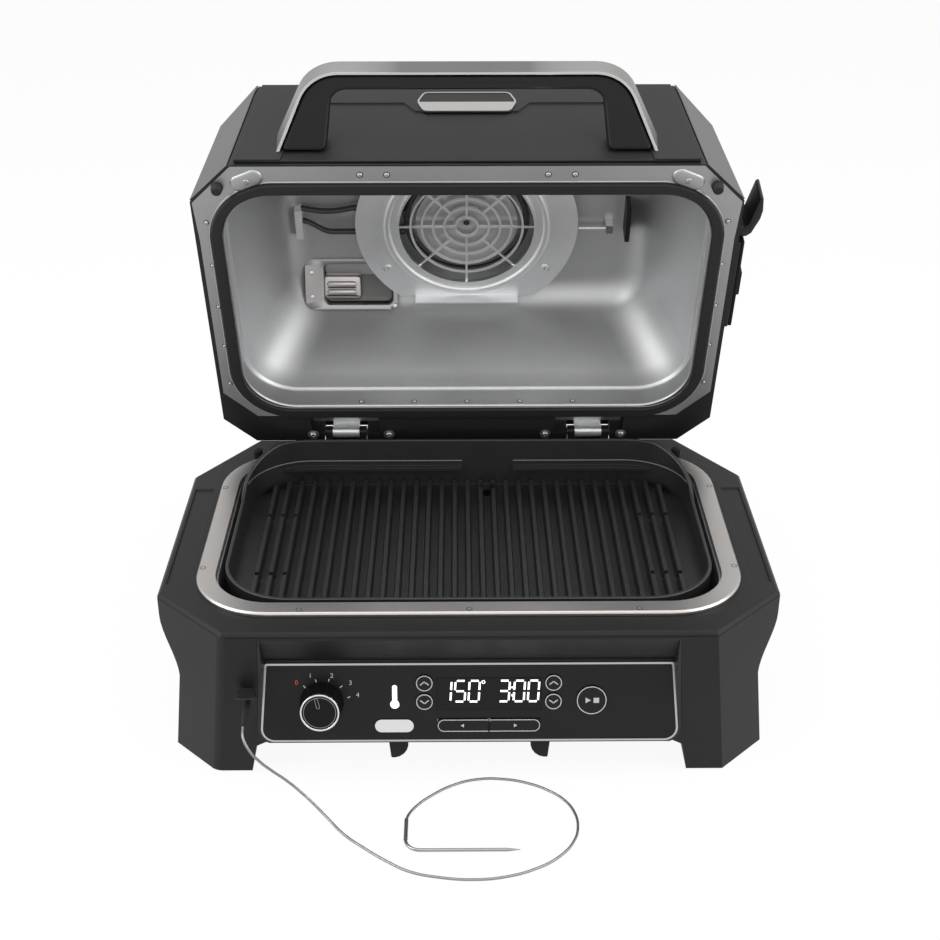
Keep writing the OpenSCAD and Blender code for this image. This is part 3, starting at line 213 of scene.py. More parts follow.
class Finish(Nodes):
    """One material: a Principled shader and the nodes that vary it over the surface."""

    def __init__(self, name, **constants):
        self.material = bpy.data.materials.new(name)
        self.material.use_nodes = True
        super().__init__(self.material.node_tree)
        self.shader = self.tree.nodes["Principled BSDF"]
        for socket, value in constants.items():
            self.shader.inputs[socket.replace("_", " ")].default_value = value

    def place(self, scale=(1, 1, 1)):
        where = self.node("ShaderNodeTexCoord", {}, {}, "Object")
        return self.node("ShaderNodeMapping", {}, {"Vector": where, "Scale": scale})

    def noise(self, size, detail, stretch=(1, 1, 1)):
        """Noise from 0 to 1 whose spots are about size metres across."""
        return self.node("ShaderNodeTexNoise", {}, {"Vector": self.place(stretch),
                                                    "Scale": 1.0 / size, "Detail": detail})

    def mix(self, factor, first, second):
        return self.node("ShaderNodeMix", {"data_type": "RGBA"}, {0: factor, 6: first, 7: second}, 2)

    def ramp(self, value, low, high):
        """0 below low, 1 above high."""
        return self.node("ShaderNodeMapRange", {}, {0: value, 1: low, 2: high})

    def bump(self, height, depth, strength):
        normal = self.node("ShaderNodeBump", {}, {"Height": height, "Distance": depth, "Strength": strength})
        self.feed(self.shader.inputs["Normal"], normal)
        return self

    def colour(self, value):
        self.feed(self.shader.inputs["Base Color"], value)

    def tones(self, factor, rgb, low, high):
        """A colour that varies between a darker and a lighter tone."""
        self.colour(self.mix(factor, shade(rgb, low), shade(rgb, high)))

    def rough(self, value):
        self.feed(self.shader.inputs["Roughness"], value)


def shade(rgb, by):
    """A colour for a socket, lighter or darker by a factor."""
    return tuple(min(1.0, c * by) for c in rgb) + (1.0,)


def moulded(name, rgb, roughness, gloss=0.3):
    """Moulded plastic or powder paint: fine grain and a faint patchy tone."""
    f = Finish(name, Specular_IOR_Level=gloss)
    patch = f.noise(0.09, 2.0)
    speck = f.noise(0.0006, 2.0)
    f.tones(patch * 0.7 + speck * 0.3, rgb, 1 - 0.18, 1 + 0.18)
    f.rough(roughness - 0.05 + 0.1 * patch)
    return f.bump(speck, 0.00006, 0.5).material


def brushed(name, rgb, roughness, along=(1, 60, 60)):
    """Brushed or rolled sheet: long fine lines and soft cloudy patches."""
    f = Finish(name, Metallic=1.0)
    line = f.noise(0.02, 4.0, along)
    cloud = f.noise(0.07, 3.0)
    f.tones(line * 0.5 + cloud * 0.5, rgb, 1 - 0.12, 1 + 0.12)
    f.rough(roughness - 0.08 + 0.1 * line + 0.06 * cloud)
    return f.bump(line, 0.00002, 0.35).material


def bright_sheet(name, rgb, roughness):
    """Coated steel sheet: faint mottle and a slight wave in the surface."""
    f = Finish(name, Metallic=1.0)
    fleck = f.noise(0.004, 3.0)
    cloud = f.noise(0.06, 2.0)
    f.tones(fleck * 0.4 + cloud * 0.6, rgb, 1 - 0.14, 1 + 0.14 * 0.6)
    f.rough(roughness - 0.06 + 0.08 * fleck + 0.06 * cloud)
    return f.bump(cloud * 0.8 + fleck * 0.02, 0.0004, 0.2).material


def coated(name, rgb, roughness):
    """Non-stick coat on cast metal: black with a fine sparkle and orange peel."""
    f = Finish(name, Specular_IOR_Level=0.55)
    speck = f.noise(0.0008, 2.0)
    cloud = f.noise(0.03, 2.0)
    f.tones(f.ramp(speck, 0.62, 0.72), rgb, 1.0, 2.6)
    f.rough(roughness + 0.12 * cloud)
    return f.bump(speck, 0.00008, 0.5).material


def rubbery(name, rgb):
    """Matt rubber with a soft grain."""
    f = Finish(name, Specular_IOR_Level=0.35)
    grain = f.noise(0.0012, 3.0)
    f.tones(grain, rgb, 0.8, 1.3)
    f.rough(0.62 + 0.12 * grain)
    return f.bump(grain, 0.0001, 0.5).material


def glossy(name, rgb, roughness):
    """Smooth panel plastic with faint dust and wipe marks in its gloss."""
    f = Finish(name, Specular_IOR_Level=0.22)
    wipe = f.noise(0.05, 3.0, (1, 4, 4))
    f.tones(wipe, rgb, 0.9, 1.1)
    f.rough(roughness + 0.06 * wipe)
    return f.bump(wipe, 0.00004, 0.2).material


def printed(name, rgb, glow=0.0):
    """Printed ink, or a lit mark where it glows."""
    f = Finish(name, Specular_IOR_Level=0.3, Emission_Strength=glow)
    tone = f.noise(0.0015, 2.0)
    f.tones(tone, rgb, 0.93, 1.05)
    f.rough(0.5 + 0.1 * tone)
    if glow:
        f.feed(f.shader.inputs["Emission Color"], f.mix(tone, shade(rgb, 0.96), shade(rgb, 1.04)))
    return f.material


def braided(name, rgb):
    """Steel braid: fine crossed strands along the cable."""
    f = Finish(name, Metallic=1.0)
    strands = f.node("ShaderNodeTexWave", {"bands_direction": "DIAGONAL"},
                     {"Vector": f.place(), "Scale": 500.0, "Distortion": 1.5, "Detail": 1.0})
    f.tones(strands, rgb, 0.62, 1.1)
    f.rough(0.3 + 0.2 * strands)
    return f.bump(strands, 0.0001, 0.6).material


FINISHES = {}


def make_finishes():
    c = colours()
    FINISHES.update(
        body=moulded("moulded_body", c.body, 0.52, 0.24),
        housing=moulded("moulded_housing", c.body, 0.46, 0.4),
        deck=moulded("deck_paint", c.deck, 0.48, 0.22),
        lid=moulded("lid_paint", c.lid, 0.46),
        lid_front=moulded("lid_front_paint", c.lid_front, 0.44, 0.25),
        hardware=moulded("black_hardware", c.lid, 0.42),
        grip=moulded("grip_plastic", shade(c.lid, 0.6)[:3], 0.42, 0.14),
        facet=brushed("satin_facet", c.facet, 0.42, (60, 60, 1)),
        ring=brushed("brushed_ring", c.ring, 0.34),
        strap=brushed("brushed_strap", (0.28, 0.278, 0.276), 0.42),
        trim=brushed("bright_trim", (0.46, 0.46, 0.465), 0.3),
        chrome=brushed("dial_chrome", (0.72, 0.72, 0.725), 0.2),
        liner=bright_sheet("bright_liner", c.liner, 0.47),
        louvre=brushed("louvre_steel", (0.5, 0.47, 0.455), 0.36),
        boss=bright_sheet("outlet_sheet", (0.4, 0.392, 0.388), 0.4),
        frame=bright_sheet("rim_sheet", shade(c.liner, 0.7)[:3], 0.44),
        guard=bright_sheet("guard_sheet", shade(c.liner, 1.68)[:3], 0.46),
        dull=bright_sheet("dull_sheet", shade(c.liner, 0.62)[:3], 0.5),
        blades=bright_sheet("fan_sheet", (0.62, 0.618, 0.615), 0.42),
        screw=brushed("screw_steel", (0.46, 0.46, 0.465), 0.3),
        stained=bright_sheet("smoke_stained_sheet", (0.27, 0.262, 0.255), 0.34),
        scale=bright_sheet("heated_steel", (0.12, 0.118, 0.115), 0.4),
        bright=brushed("bright_steel", (0.66, 0.66, 0.67), 0.24),
        probe=brushed("probe_steel", (0.3, 0.295, 0.29), 0.3),
        plate=coated("plate_coat", c.plate, 0.34),
        # The bead's coat, nine times lighter than the plate's, is a painted highlight.
        bead=coated("plate_edge_painted_highlight", shade(c.plate, 9.0)[:3], 0.3),
        oxide=coated("element_oxide", shade(c.plate, 2.2)[:3], 0.36),
        rubber=rubbery("black_rubber", c.rubber),
        panel=glossy("panel_gloss", (0.006, 0.0061, 0.0066), 0.3),
        lens=glossy("lens_gloss", (0.0035, 0.0035, 0.0045), 0.2),
        braid=braided("cable_braid", (0.3, 0.295, 0.29)),
        mark=printed("panel_print", c.print),
        off=printed("off_print", c.warning),
        lit=printed("lit_digit", (0.93, 0.95, 0.97), 0.85),
    )


NODE_FINISH = {
    "body": ("base_shell", "stand_hooks"),
    "housing": ("panel_housing", "probe_jack", "power_inlet", "tray_guide"),
    "deck": ("top_deck",),
    "lid": ("lid_shell", "smoke_box"),
    "lid_front": ("lid_front",),
    "hardware": ("hinge_brackets", "vent_bracket", "side_hook", "rear_stops"),
    "grip": ("handle_grip", "dial_knob", "smoke_door"),
    "facet": ("lid_facets", "badge"),
    "ring": ("trim_ring",),
    "chrome": ("knob_ring", "button_flavour"),
    "strap": ("handle_strap",),
    "trim": ("panel_trim",),
    "liner": ("lid_liner",),
    "frame": ("lid_frame", "corner_pads"),
    "guard": ("fan_guard", "hinge_leaves", "smoke_louvre", "element_bracket"),
    "dull": ("hearth_liner", "floor_pan", "plate_studs"),
    "stained": ("smoke_outlet",),
    "bright": ("temp_sensor", "hinge_pins"),
    "screw": ("rim_screws", "ring_screws"),
    "blades": ("fan",),
    "probe": ("probe_spike",),
    "scale": ("heating_element", "fan_motor"),
    "plate": ("grill_plate", "grease_tray"),
    "rubber": ("feet", "gasket", "lid_bumpers", "jack_flap", "probe_plug"),
    "panel": ("control_panel", "button_temp_up", "button_temp_down", "button_time_up", "button_time_down",
              "button_start", "button_mode_left", "button_mode_right"),
    "lens": ("display_lens",),
    "braid": ("probe_cable",),
}


def finish_of(node):
    return FINISHES[next(name for name, nodes in NODE_FINISH.items() if node in nodes)]


def body_of(node):
    return next(b for b, nodes in frame["record"]["behaviour"]["bodies"].items() if node in nodes)


def add_piece(name, shape, node, finish=None, smooth=None, place=HERE, body=None):
    """Turns a bmesh into a piece on a node's body, with, unless named, the node's finish."""
    shape.transform(place)
    mesh = bpy.data.meshes.new(name)
    shape.to_mesh(mesh)
    shape.free()
    piece = bpy.data.objects.new(name, mesh)
    bpy.context.scene.collection.objects.link(piece)
    mesh.materials.append(FINISHES[finish] if finish else finish_of(node))
    if smooth is not None:
        for face in mesh.polygons:
            face.use_smooth = True
        mesh.set_sharp_from_angle(angle=math.radians(smooth))
    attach(piece, body or body_of(node))
    return piece


def stand_in(name, shape, node, finish=None, smooth=None, place=HERE):
    """A piece that is shown in place of its node's solid."""
    piece = add_piece(name, shape, node, finish, smooth, place)
    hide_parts(node)
    return piece


def copy_of(node, flat=False):
    """A merged copy of a solid's mesh, with its flat faces whole where asked."""
    shape = bmesh.new()
    shape.from_mesh(NODES[node].data)
    bmesh.ops.remove_doubles(shape, verts=shape.verts, dist=MERGE)
    if flat:
        bmesh.ops.dissolve_limit(shape, angle_limit=FLAT, verts=shape.verts, edges=shape.edges)
    return shape


def round_edges(shape, width, segments, angle, chosen=None):
    """Rounds the edges that turn by more than an angle."""
    sharp = [e for e in shape.edges if len(e.link_faces) == 2
             and e.calc_face_angle(0) > math.radians(angle) and (chosen is None or chosen(e))]
    bmesh.ops.bevel(shape, geom=sharp, offset=width, offset_type="OFFSET", segments=segments, profile=0.5,
                    affect="EDGES", clamp_overlap=True, material=-1)


# The base's front corners start past this far out and this far forward; an upright edge is at least this tall and
# leans by less than this.
CORNER_X = 228
CORNER_Y = -180
UPRIGHT = 25
LEAN = 16


def front_corner(edge):
    """True for the base's upright edges between its front and its corner faces."""
    a, b = ((BASE.inverted() @ v.co) / MM for v in edge.verts)
    outside = all(abs(p.x) > CORNER_X and p.y < CORNER_Y for p in (a, b))
    return outside and abs(a.z - b.z) > UPRIGHT and edge.is_convex and abs(a.x - b.x) < LEAN


# The grill plate's rim climbs to its back wall: from where to where, and its heights.
CLIMB_Y = (44.0, 112.0)
CLIMB_Z = (180.0, 214.0)
ON_RIM = 0.1


def plate_rim(edge):
    """True for the edges along the top of the grill plate's wall."""
    for vert in edge.verts:
        at = (BASE.inverted() @ vert.co) / MM
        share = min(max((at.y - CLIMB_Y[0]) / (CLIMB_Y[1] - CLIMB_Y[0]), 0.0), 1.0)
        if abs(at.z - CLIMB_Z[0] - share * (CLIMB_Z[1] - CLIMB_Z[0])) > ON_RIM:
            return False
    return True


# Wider rounds on chosen edges, in millimetres, before the other edges are softened.
WIDE_ROUNDS = {"base_shell": (6.0, front_corner), "grill_plate": (1.5, plate_rim)}


def soften(node, width, segments, angle=28.0):
    """A copy of a solid with its sharp edges rounded, which stands in for it."""
    shape = copy_of(node, True)
    if node in WIDE_ROUNDS:
        wide, chosen = WIDE_ROUNDS[node]
        round_edges(shape, wide * MM, 5, angle, chosen)
    round_edges(shape, width, segments, angle)
    piece = stand_in(node + "_soft", shape, node, smooth=40)
    weighted = piece.modifiers.new("even_faces", "WEIGHTED_NORMAL")
    weighted.keep_sharp = True


def bar(long, wide, thick):
    """A flat printed bar about the origin."""
    shape = bmesh.new()
    bmesh.ops.create_grid(shape, x_segments=1, y_segments=1, size=0.5)
    bmesh.ops.scale(shape, vec=(long, wide, 1), verts=shape.verts)
    return raised(shape, thick)


def pill(radius, segments, stretch):
    """A flat disc, drawn out to a pill by stretch. It is turned a little, so that no corner is on its middle."""
    shape = bmesh.new()
    bmesh.ops.create_circle(shape, cap_ends=True, segments=segments, radius=radius, matrix=turn(2.0, "Z"))
    for side in (1, -1):
        half = [v for v in shape.verts if v.co.x * side > 0]
        bmesh.ops.translate(shape, vec=(side * stretch / 2, 0, 0), verts=half)
    return shape


def disc(radius, thick, segments=48, stretch=0.0):
    """A printed disc or pill."""
    return raised(pill(radius, segments, stretch), thick)


def hoop(radius, line, thick, segments=64, stretch=0.0):
    """A printed ring or the outline of a pill."""
    shape = pill(radius, segments, stretch)
    middle = shape.faces[:]
    bmesh.ops.inset_region(shape, faces=middle, thickness=line, use_even_offset=True, use_boundary=True)
    bmesh.ops.delete(shape, geom=middle, context="FACES")
    return raised(shape, thick)


def raised(shape, thick):
    """Gives flat faces a thickness upwards."""
    made = bmesh.ops.extrude_face_region(shape, geom=shape.faces[:], use_keep_orig=True)["geom"]
    top = [v for v in made if isinstance(v, bmesh.types.BMVert)]
    bmesh.ops.translate(shape, vec=(0, 0, thick), verts=top)
    bmesh.ops.recalc_face_normals(shape, faces=shape.faces)
    return shape


def cut(shape, point, normal, drop=True):
    """Cuts a shape at a plane, and drops what lies past it where asked."""
    geom = shape.verts[:] + shape.edges[:] + shape.faces[:]
    bmesh.ops.bisect_plane(shape, geom=geom, plane_co=point, plane_no=normal, clear_outer=drop)


def keep_side(shape, point, away):
    """Cuts a shape at a plane, drops what lies past it and closes the cut."""
    cut(shape, point, away)
    bmesh.ops.holes_fill(shape, edges=[e for e in shape.edges if e.is_boundary])


def joined(parts):
    """One shape from several, each with its place."""
    whole = bmesh.new()
    for shape, place in parts:
        shape.transform(place)
        store = bpy.data.meshes.new("part")
        shape.to_mesh(store)
        shape.free()
        whole.from_mesh(store)
        bpy.data.meshes.remove(store)
    return whole


# An arm of a chevron: its length, its middle from the point and its lean.
CHEVRON = (5.2, 2.0, 38)


def chevron(thick, up):
    """Two short bars that meet in a point."""
    arm, apart, lean = CHEVRON
    lean = lean if up else -lean
    return [(bar(arm * MM, sizes().mark, thick), shift(side * apart) @ turn(-side * lean, "Z")) for side in (-1, 1)]


def arrow(reach, thick, towards):
    """A small plain triangle."""
    shape = bmesh.new()
    bmesh.ops.create_circle(shape, cap_ends=True, segments=3, radius=reach)
    bmesh.ops.rotate(shape, verts=shape.verts, matrix=turn(towards, "Z").to_3x3())
    return raised(shape, thick)


# Slant of the display digits, and their width, line and lit length as shares.
SLANT = Matrix(((1, 0.06, 0, 0), (0, 1, 0, 0), (0, 0, 1, 0), (0, 0, 0, 1)))
DIGIT_WIDE = 0.46
DIGIT_LINE = 0.088
DIGIT_LIT = 0.94
# Segments of a digit: top, upper right, lower right, foot, lower left, upper left, middle, each in half widths and
# quarter heights from the digit's middle, and whether it stands upright. Then which are lit.
SEGMENTS = ((0, 2, False), (1, 1, True), (1, -1, True), (0, -2, False), (-1, -1, True), (-1, 1, True), (0, 0, False))
DIGITS = {0: "1111110", 1: "0110000", 3: "1111001", 5: "1011011"}


def segment(long, wide, thick):
    """A bar with pointed ends."""
    shape = bmesh.new()
    bmesh.ops.create_circle(shape, cap_ends=True, segments=6, radius=wide / 2)
    for vert in shape.verts:
        side = math.copysign(1, vert.co.x)
        if abs(vert.co.y) < wide * 0.1:
            vert.co.x = side * long / 2
        else:
            vert.co = (side * (long - wide) / 2, math.copysign(wide / 2, vert.co.y), 0)
    return raised(shape, thick)


def digit(value, height, thick):
    """A seven-segment digit about its middle."""
    wide, quarter = height * DIGIT_WIDE, height / 4
    parts = []
    for lit, (u, v, upright) in zip(DIGITS[value], SEGMENTS):
        if lit == "1":
            long = 2 * quarter if upright else wide
            place = Matrix.Translation((u * wide / 2, v * quarter, 0)) @ turn(90 if upright else 0, "Z")
            parts.append((segment(long * DIGIT_LIT, height * DIGIT_LINE, thick), place))
    return parts


def numeral(value, height, thick):
    """A plain numeral as a flat mesh about its middle."""
    text = bpy.data.curves.new("numeral", "FONT")
    text.body = str(value)
    text.size = height
    text.align_x = "CENTER"
    text.align_y = "CENTER"
    text.extrude = thick
    holder = bpy.data.objects.new("numeral", text)
    bpy.context.scene.collection.objects.link(holder)
    mesh = bpy.data.meshes.new_from_object(holder.evaluated_get(bpy.context.evaluated_depsgraph_get()))
    shape = bmesh.new()
    shape.from_mesh(mesh)
    bpy.data.objects.remove(holder)
    bpy.data.curves.remove(text)
    bpy.data.meshes.remove(mesh)
    return shape


def on_panel(name, parts, out, material, body):
    """Marks on the control panel, out of its back plane by out millimetres."""
    add_piece(name, joined(parts), "control_panel", material, place=PANEL @ shift(0, 0, out), body=body)


# Faces that carry marks, out of the panel's back plane, and places across and up the panel, in millimetres.
BUTTON_OUT = 4.82
FACE_OUT = 3.01
LENS_OUT = 3.22
SMALL_BUTTONS = {"button_temp_up": (-43, 58, True), "button_temp_down": (-43, 39, False),
                 "button_time_up": (80, 58, True), "button_time_down": (80, 39, False)}
SMALL_R = 7.9
START_AT = (116.5, 40)
START_R = 14.2
PILL_AT = (18.5, 14.5)
PILL_R = 6.2
PILL_LONG = 98
PILL_ARROW = 25
PILL_GAP = 0.6
DIAL_MARKS = ((-164.4, 58.6, "off"), (-151.2, 65.6, "mark"), (-130.8, 65.6, "mark"), (-113.2, 58.2, "mark"),
              (-106.6, 45.8, "mark"))
DIAL_TICKS = ((-157.1, 54.4, 40), (-146.1, 60.6, 15), (-133.7, 61.1, -15), (-122.2, 54.4, -45),
              (-115.1, 43.6, -70))
NUMERAL_H = 6.4
# The thermometer mark: its bulb and its stem.
BULB_AT = (-71.4, 36)
STEM_AT = (-71.4, 46)
# The display's digits from left to right, their height up the panel, the colon's dots and the degree ring.
SHOWN = ((1, -22.5), (5, -9.0), (0, 4.4), (3, 33.0), (0, 47.4), (0, 61.0))
SHOWN_V = 49.3
DOTS_AT = ((40.7, 45.0), (40.7, 53.0))
DEGREE_AT = (13.2, 58.6)


class GRILL_OT_panel_marks(Operator):
    """Print the generic marks on the panel and its buttons"""

    bl_idname = "grill.panel_marks"
    bl_label = "Panel marks"

    def execute(self, context):
        thick, line = sizes().print_t, sizes().mark
        for name, (u, v, up) in SMALL_BUTTONS.items():
            parts = [(hoop(SMALL_R * MM, line * 0.8, thick), HERE)] + chevron(thick, up)
            on_panel(name + "_mark", [(s, shift(u, v) @ p) for s, p in parts], BUTTON_OUT, "mark", body_of(name))
        start = [(hoop(START_R * MM, line * 0.8, thick), HERE), (arrow(3.4 * MM, thick, -90), shift(-4.2, 0)),
                 (bar(5.2 * MM, 5.2 * MM, thick), shift(4.4, 0))]
        on_panel("button_start_mark", [(s, shift(*START_AT) @ p) for s, p in start], BUTTON_OUT, "mark",
                 body_of("button_start"))
        for name, side in (("button_mode_left", -1), ("button_mode_right", 1)):
            edge = hoop(PILL_R * MM, line * 0.7, thick, 64, (PILL_LONG - 2 * PILL_R) * MM)
            keep_side(edge, (side * PILL_GAP * MM, 0, 0), (-side, 0, 0))
            point = arrow(2.1 * MM, thick, -side * 90)
            on_panel(name + "_mark", [(edge, shift(*PILL_AT)), (point, shift(*PILL_AT) @ shift(side * PILL_ARROW))],
                     BUTTON_OUT, "mark", body_of(name))
        ticks = [(bar(line * 0.9, 3.0 * MM, thick), shift(u, v) @ turn(a, "Z")) for u, v, a in DIAL_TICKS]
        on_panel("dial_ticks", ticks, FACE_OUT, "mark", "base")
        for value, (u, v, material) in enumerate(DIAL_MARKS):
            on_panel("dial_numeral_%d" % value, [(numeral(value, NUMERAL_H * MM, thick), shift(u, v))],
                     FACE_OUT, material, "base")
        lamp = [(disc(4.3 * MM, thick), shift(*BULB_AT)),
                (disc(2.3 * MM, thick, 48, 15 * MM), shift(*STEM_AT) @ turn(90, "Z"))]
        on_panel("probe_lamp", lamp, FACE_OUT, "lit", "base")
        return {"FINISHED"}


class GRILL_OT_display(Operator):
    """Light the two numbers of the display"""

    bl_idname = "grill.display"
    bl_label = "Display digits"

    def execute(self, context):
        height, thick = sizes().digit_h, sizes().print_t
        parts = []
        for value, u in SHOWN:
            parts += [(s, shift(u, SHOWN_V) @ SLANT @ p) for s, p in digit(value, height, thick)]
        parts += [(disc(1.0 * MM, thick), shift(*dot)) for dot in DOTS_AT]
        parts.append((hoop(1.8 * MM, 0.7 * MM, thick), shift(*DEGREE_AT)))
        on_panel("display_digits", parts, LENS_OUT, "lit", "base")
        return {"FINISHED"}


# The dial's face out of the panel, the thickness of its trim and how far its pointer is turned.
KNOB_TOP = 26.72
KNOB_TRIM_T = 0.25
KNOB_TURN = 13


class GRILL_OT_dial_trim(Operator):
    """Add the dial's inner ring and its pointer"""

    bl_idname = "grill.dial_trim"
    bl_label = "Dial trim"

    def execute(self, context):
        thick = KNOB_TRIM_T * MM
        pointer = shift(*KNOB_AT) @ turn(KNOB_TURN, "Z")
        parts = [(hoop(15.4 * MM, 0.5 * MM, thick, 96), shift(*KNOB_AT)),
                 (hoop(1.7 * MM, 0.5 * MM, thick, 48, 7.5 * MM), pointer @ shift(0, 9.6) @ turn(90, "Z"))]
        on_panel("dial_rings", parts, KNOB_TOP, "strap", "dial")
        side = [(bar(1.3 * MM, 17 * MM, thick), pointer @ shift(0, 19.75, 13) @ turn(96.8, "X"))]
        on_panel("dial_line", side, 0, "trim", "dial")
        return {"FINISHED"}


# Soft edges of the solids, in millimetres.
SOFT_EDGES = {
    "base_shell": 1.4, "top_deck": 0.8, "panel_housing": 0.9, "trim_ring": 0.5, "lid_shell": 0.9,
    "lid_front": 0.7, "lid_facets": 0.4, "handle_grip": 5.0, "handle_strap": 0.6,
    "gasket": 1.4, "lid_frame": 0.4, "smoke_box": 1.0, "smoke_door": 0.8,
    "grill_plate": 0.5, "dial_knob": 0.7, "knob_ring": 0.4,
}
# Wider edges than this take twice the steps.
WIDE = 3


class GRILL_OT_finishes(Operator):
    """Make the finishes and put one on every solid"""

    bl_idname = "grill.finishes"
    bl_label = "Finishes"

    def execute(self, context):
        make_finishes()
        for node, solid in NODES.items():
            solid.data.materials.clear()
            solid.data.materials.append(finish_of(node))
        return {"FINISHED"}


class GRILL_OT_soft_edges(Operator):
    """Round the edges of the moulded and pressed pieces"""

    bl_idname = "grill.soft_edges"
    bl_label = "Soft edges"

    def execute(self, context):
        for node, width in SOFT_EDGES.items():
            soften(node, width * MM, 4 if width > WIDE else 2)
        return {"FINISHED"}


# The liner's mouth: middle, half sizes and corner radius.
MOUTH = (0.0, -8.5, 240.0, 139.5)
MOUTH_R = 52.0
# The liner from its rolled edge to its leaning walls: spread beyond the mouth across and along, and height.
LINER_CURVE = ((4.2, 4.2, 186.6), (3.0, 3.0, 187.6), (2.4, 2.4, 189.6), (3.0, 3.0, 191.8), (6.6, 6.6, 193.4),
               (7.4, 7.4, 196.0), (7.4, 7.4, 215.0), (7.0, 7.0, 217.4), (5.8, 6.0, 219.0), (4.2, 5.0, 219.8),
               (3.6, 4.8, 221.4))
# How far each wall leans in per rise, and the heights of its rows.
WALL_LEAN = {"side": 0.470, "rear": 0.389, "front": 0.03}
WALL_STEPS = (240.0, 258.0, 276.0, 292.0, 301.0)
# The round at the roof: its middle line, height and radius, the angles of its rows and its corner in plan.
ROUND_X = 165.8
ROUND_REAR = 64.7
ROUND_FRONT = -110.0
ROOF_Z = 292.0
ROOF_R = 40.0
ROUND_STEPS = (26, 33, 40, 47, 54, 61, 68, 75, 81, 86, 90)
ROUND_CORNER = (14, 0.95)
# The rim's bright sheet: its face, the corners of its right side and its opening beyond the mouth. Then its bead's
# place beyond the mouth, half width and rise.
SHEET_Z = 185.5
RIM_SIDE = ((228.5, -183.6), (270.0, -141.5), (267.6, -96.0), (267.6, 112.0), (233.0, 147.0))
SHEET_IN = 6.0
RIM_BEAD_OUT = 17.4
RIM_BEAD = (1.1, 0.9)
# A pressed corner pad: place, screw, turn and rows of half sizes, corner radius and height.
PAD_AT = (214.0, -168.0)
PAD_SCREW = (3.2, 1.7)
PAD_TURN = 24
PAD_ROWS = ((17, 9, 9, 0), (16.7, 8.7, 8.7, -1.1), (15.6, 7.6, 7.6, -2.0), (13.8, 5.8, 5.8, -2.4))
# The fan guard's face, its middle, and its bead's radius, half width and rise.
GUARD_Z = 312.2
FAN_Y = -17.0
GUARD_BEAD_R = 88
GUARD_BEAD = (4.5, 3.0)
# Walls of the thin sheets, and corner steps of a long round loop.
LINER_T = 0.5
WELL_T = 0.4
FINE = 20


def outline(shape, corner):
    """A closed loop of edges for a rounded rectangle, drawn as a circle of corner arcs."""
    made = bmesh.ops.create_circle(shape, cap_ends=False, segments=4 * corner, radius=1.0,
                                   matrix=turn(45 / corner, "Z"))["verts"]
    return made, [tuple(v.co.xy) for v in made], list(dict.fromkeys(e for v in made for e in v.link_edges))


def set_loop(verts, arcs, loop):
    """Moves a loop to a rounded rectangle: middle, half sizes, corner radius and height, in millimetres."""
    x, y, half_x, half_y, r, z = loop
    for vert, (cx, cy) in zip(verts, arcs):
        vert.co = ((x + math.copysign(half_x - r, cx) + r * cx) * MM,
                   (y + math.copysign(half_y - r, cy) + r * cy) * MM, z * MM)


def circle(x, y, r, z):
    """A round loop."""
    return x, y, r, r, r, z


def drawn(loops, corner=8, fill=True, foot=True):
    """A pressed shape through a row of rounded rectangles, closed at its last and its first where asked."""
    shape = bmesh.new()
    verts, arcs, edges = outline(shape, corner)
    first = edges
    set_loop(verts, arcs, loops[0])
    for loop in loops[1:]:
        order = {v: i for i, v in enumerate(verts)}
        made = bmesh.ops.extrude_edge_only(shape, edges=edges)["geom"]
        edges = [e for e in made if isinstance(e, bmesh.types.BMEdge)]
        fresh = list(verts)
        for v in (g for g in made if isinstance(g, bmesh.types.BMVert)):
            below = next(e.other_vert(v) for e in v.link_edges if e.other_vert(v) in order)
            fresh[order[below]] = v
        verts = fresh
        set_loop(verts, arcs, loop)
    if fill:
        bmesh.ops.contextual_create(shape, geom=edges)
    if foot:
        bmesh.ops.contextual_create(shape, geom=first)
    bmesh.ops.recalc_face_normals(shape, faces=shape.faces)
    return shape


def thicken(piece, wall):
    """Gives a sheet its wall behind the face that shows."""
    sheet = piece.modifiers.new("wall", "SOLIDIFY")
    sheet.thickness = wall * MM
    sheet.offset = -1.0


def closed_ring(loop, section):
    """A ring along a rounded rectangle, from a closed section of steps out and up."""
    x, y, half_x, half_y, r, z = loop
    rows = [(x, y, half_x + out, half_y + out, r + out, z + up) for out, up in section]
    shape = drawn(rows, FINE, False, False)
    bmesh.ops.bridge_loops(shape, edges=[e for e in shape.edges if e.is_boundary])
    bmesh.ops.recalc_face_normals(shape, faces=shape.faces)
    return shape


def half_round(loop, radius, rise, steps=8):
    """A half-round bead along a rounded rectangle, towards the lid's mouth."""
    angles = [math.pi * step / steps for step in range(steps + 1)]
    return closed_ring(loop, [(-radius * math.cos(a), -rise * math.sin(a)) for a in angles])


# The inside of the grill plate's wall: middle, half sizes and corner radius.
PLATE_WALL = (0.0, -11.75, 236.5, 131.75, 66.0)
# The bead along the plate's back wall, whose lighter coat is a painted highlight: height, radius, sides, front end
# and the gap over the drain.
BEAD_Z = 189.0
BEAD_R = 0.8
BEAD_SIDES = 10
BEAD_FRONT = 66.0
BEAD_GAP = (-6.0, 50.0)


class GRILL_OT_plate_bead(Operator):
    """Draw the bead along the back wall of the grill plate, in a lighter coat that is a painted highlight"""

    bl_idname = "grill.plate_bead"
    bl_label = "Plate bead"

    def execute(self, context):
        angles = [math.tau * step / BEAD_SIDES for step in range(BEAD_SIDES)]
        section = [(BEAD_R * math.cos(a), BEAD_R * math.sin(a)) for a in angles]
        parts = []
        for end, side in zip(BEAD_GAP, (1, -1)):
            half = closed_ring(PLATE_WALL + (BEAD_Z,), section)
            keep_side(half, (0, BEAD_FRONT * MM, 0), (0, -1, 0))
            keep_side(half, (end * MM, 0, 0), (side, 0, 0))
            parts.append((half, BASE))
        add_piece("plate_bead", joined(parts), "grill_plate", "bead", 60)
        return {"FINISHED"}


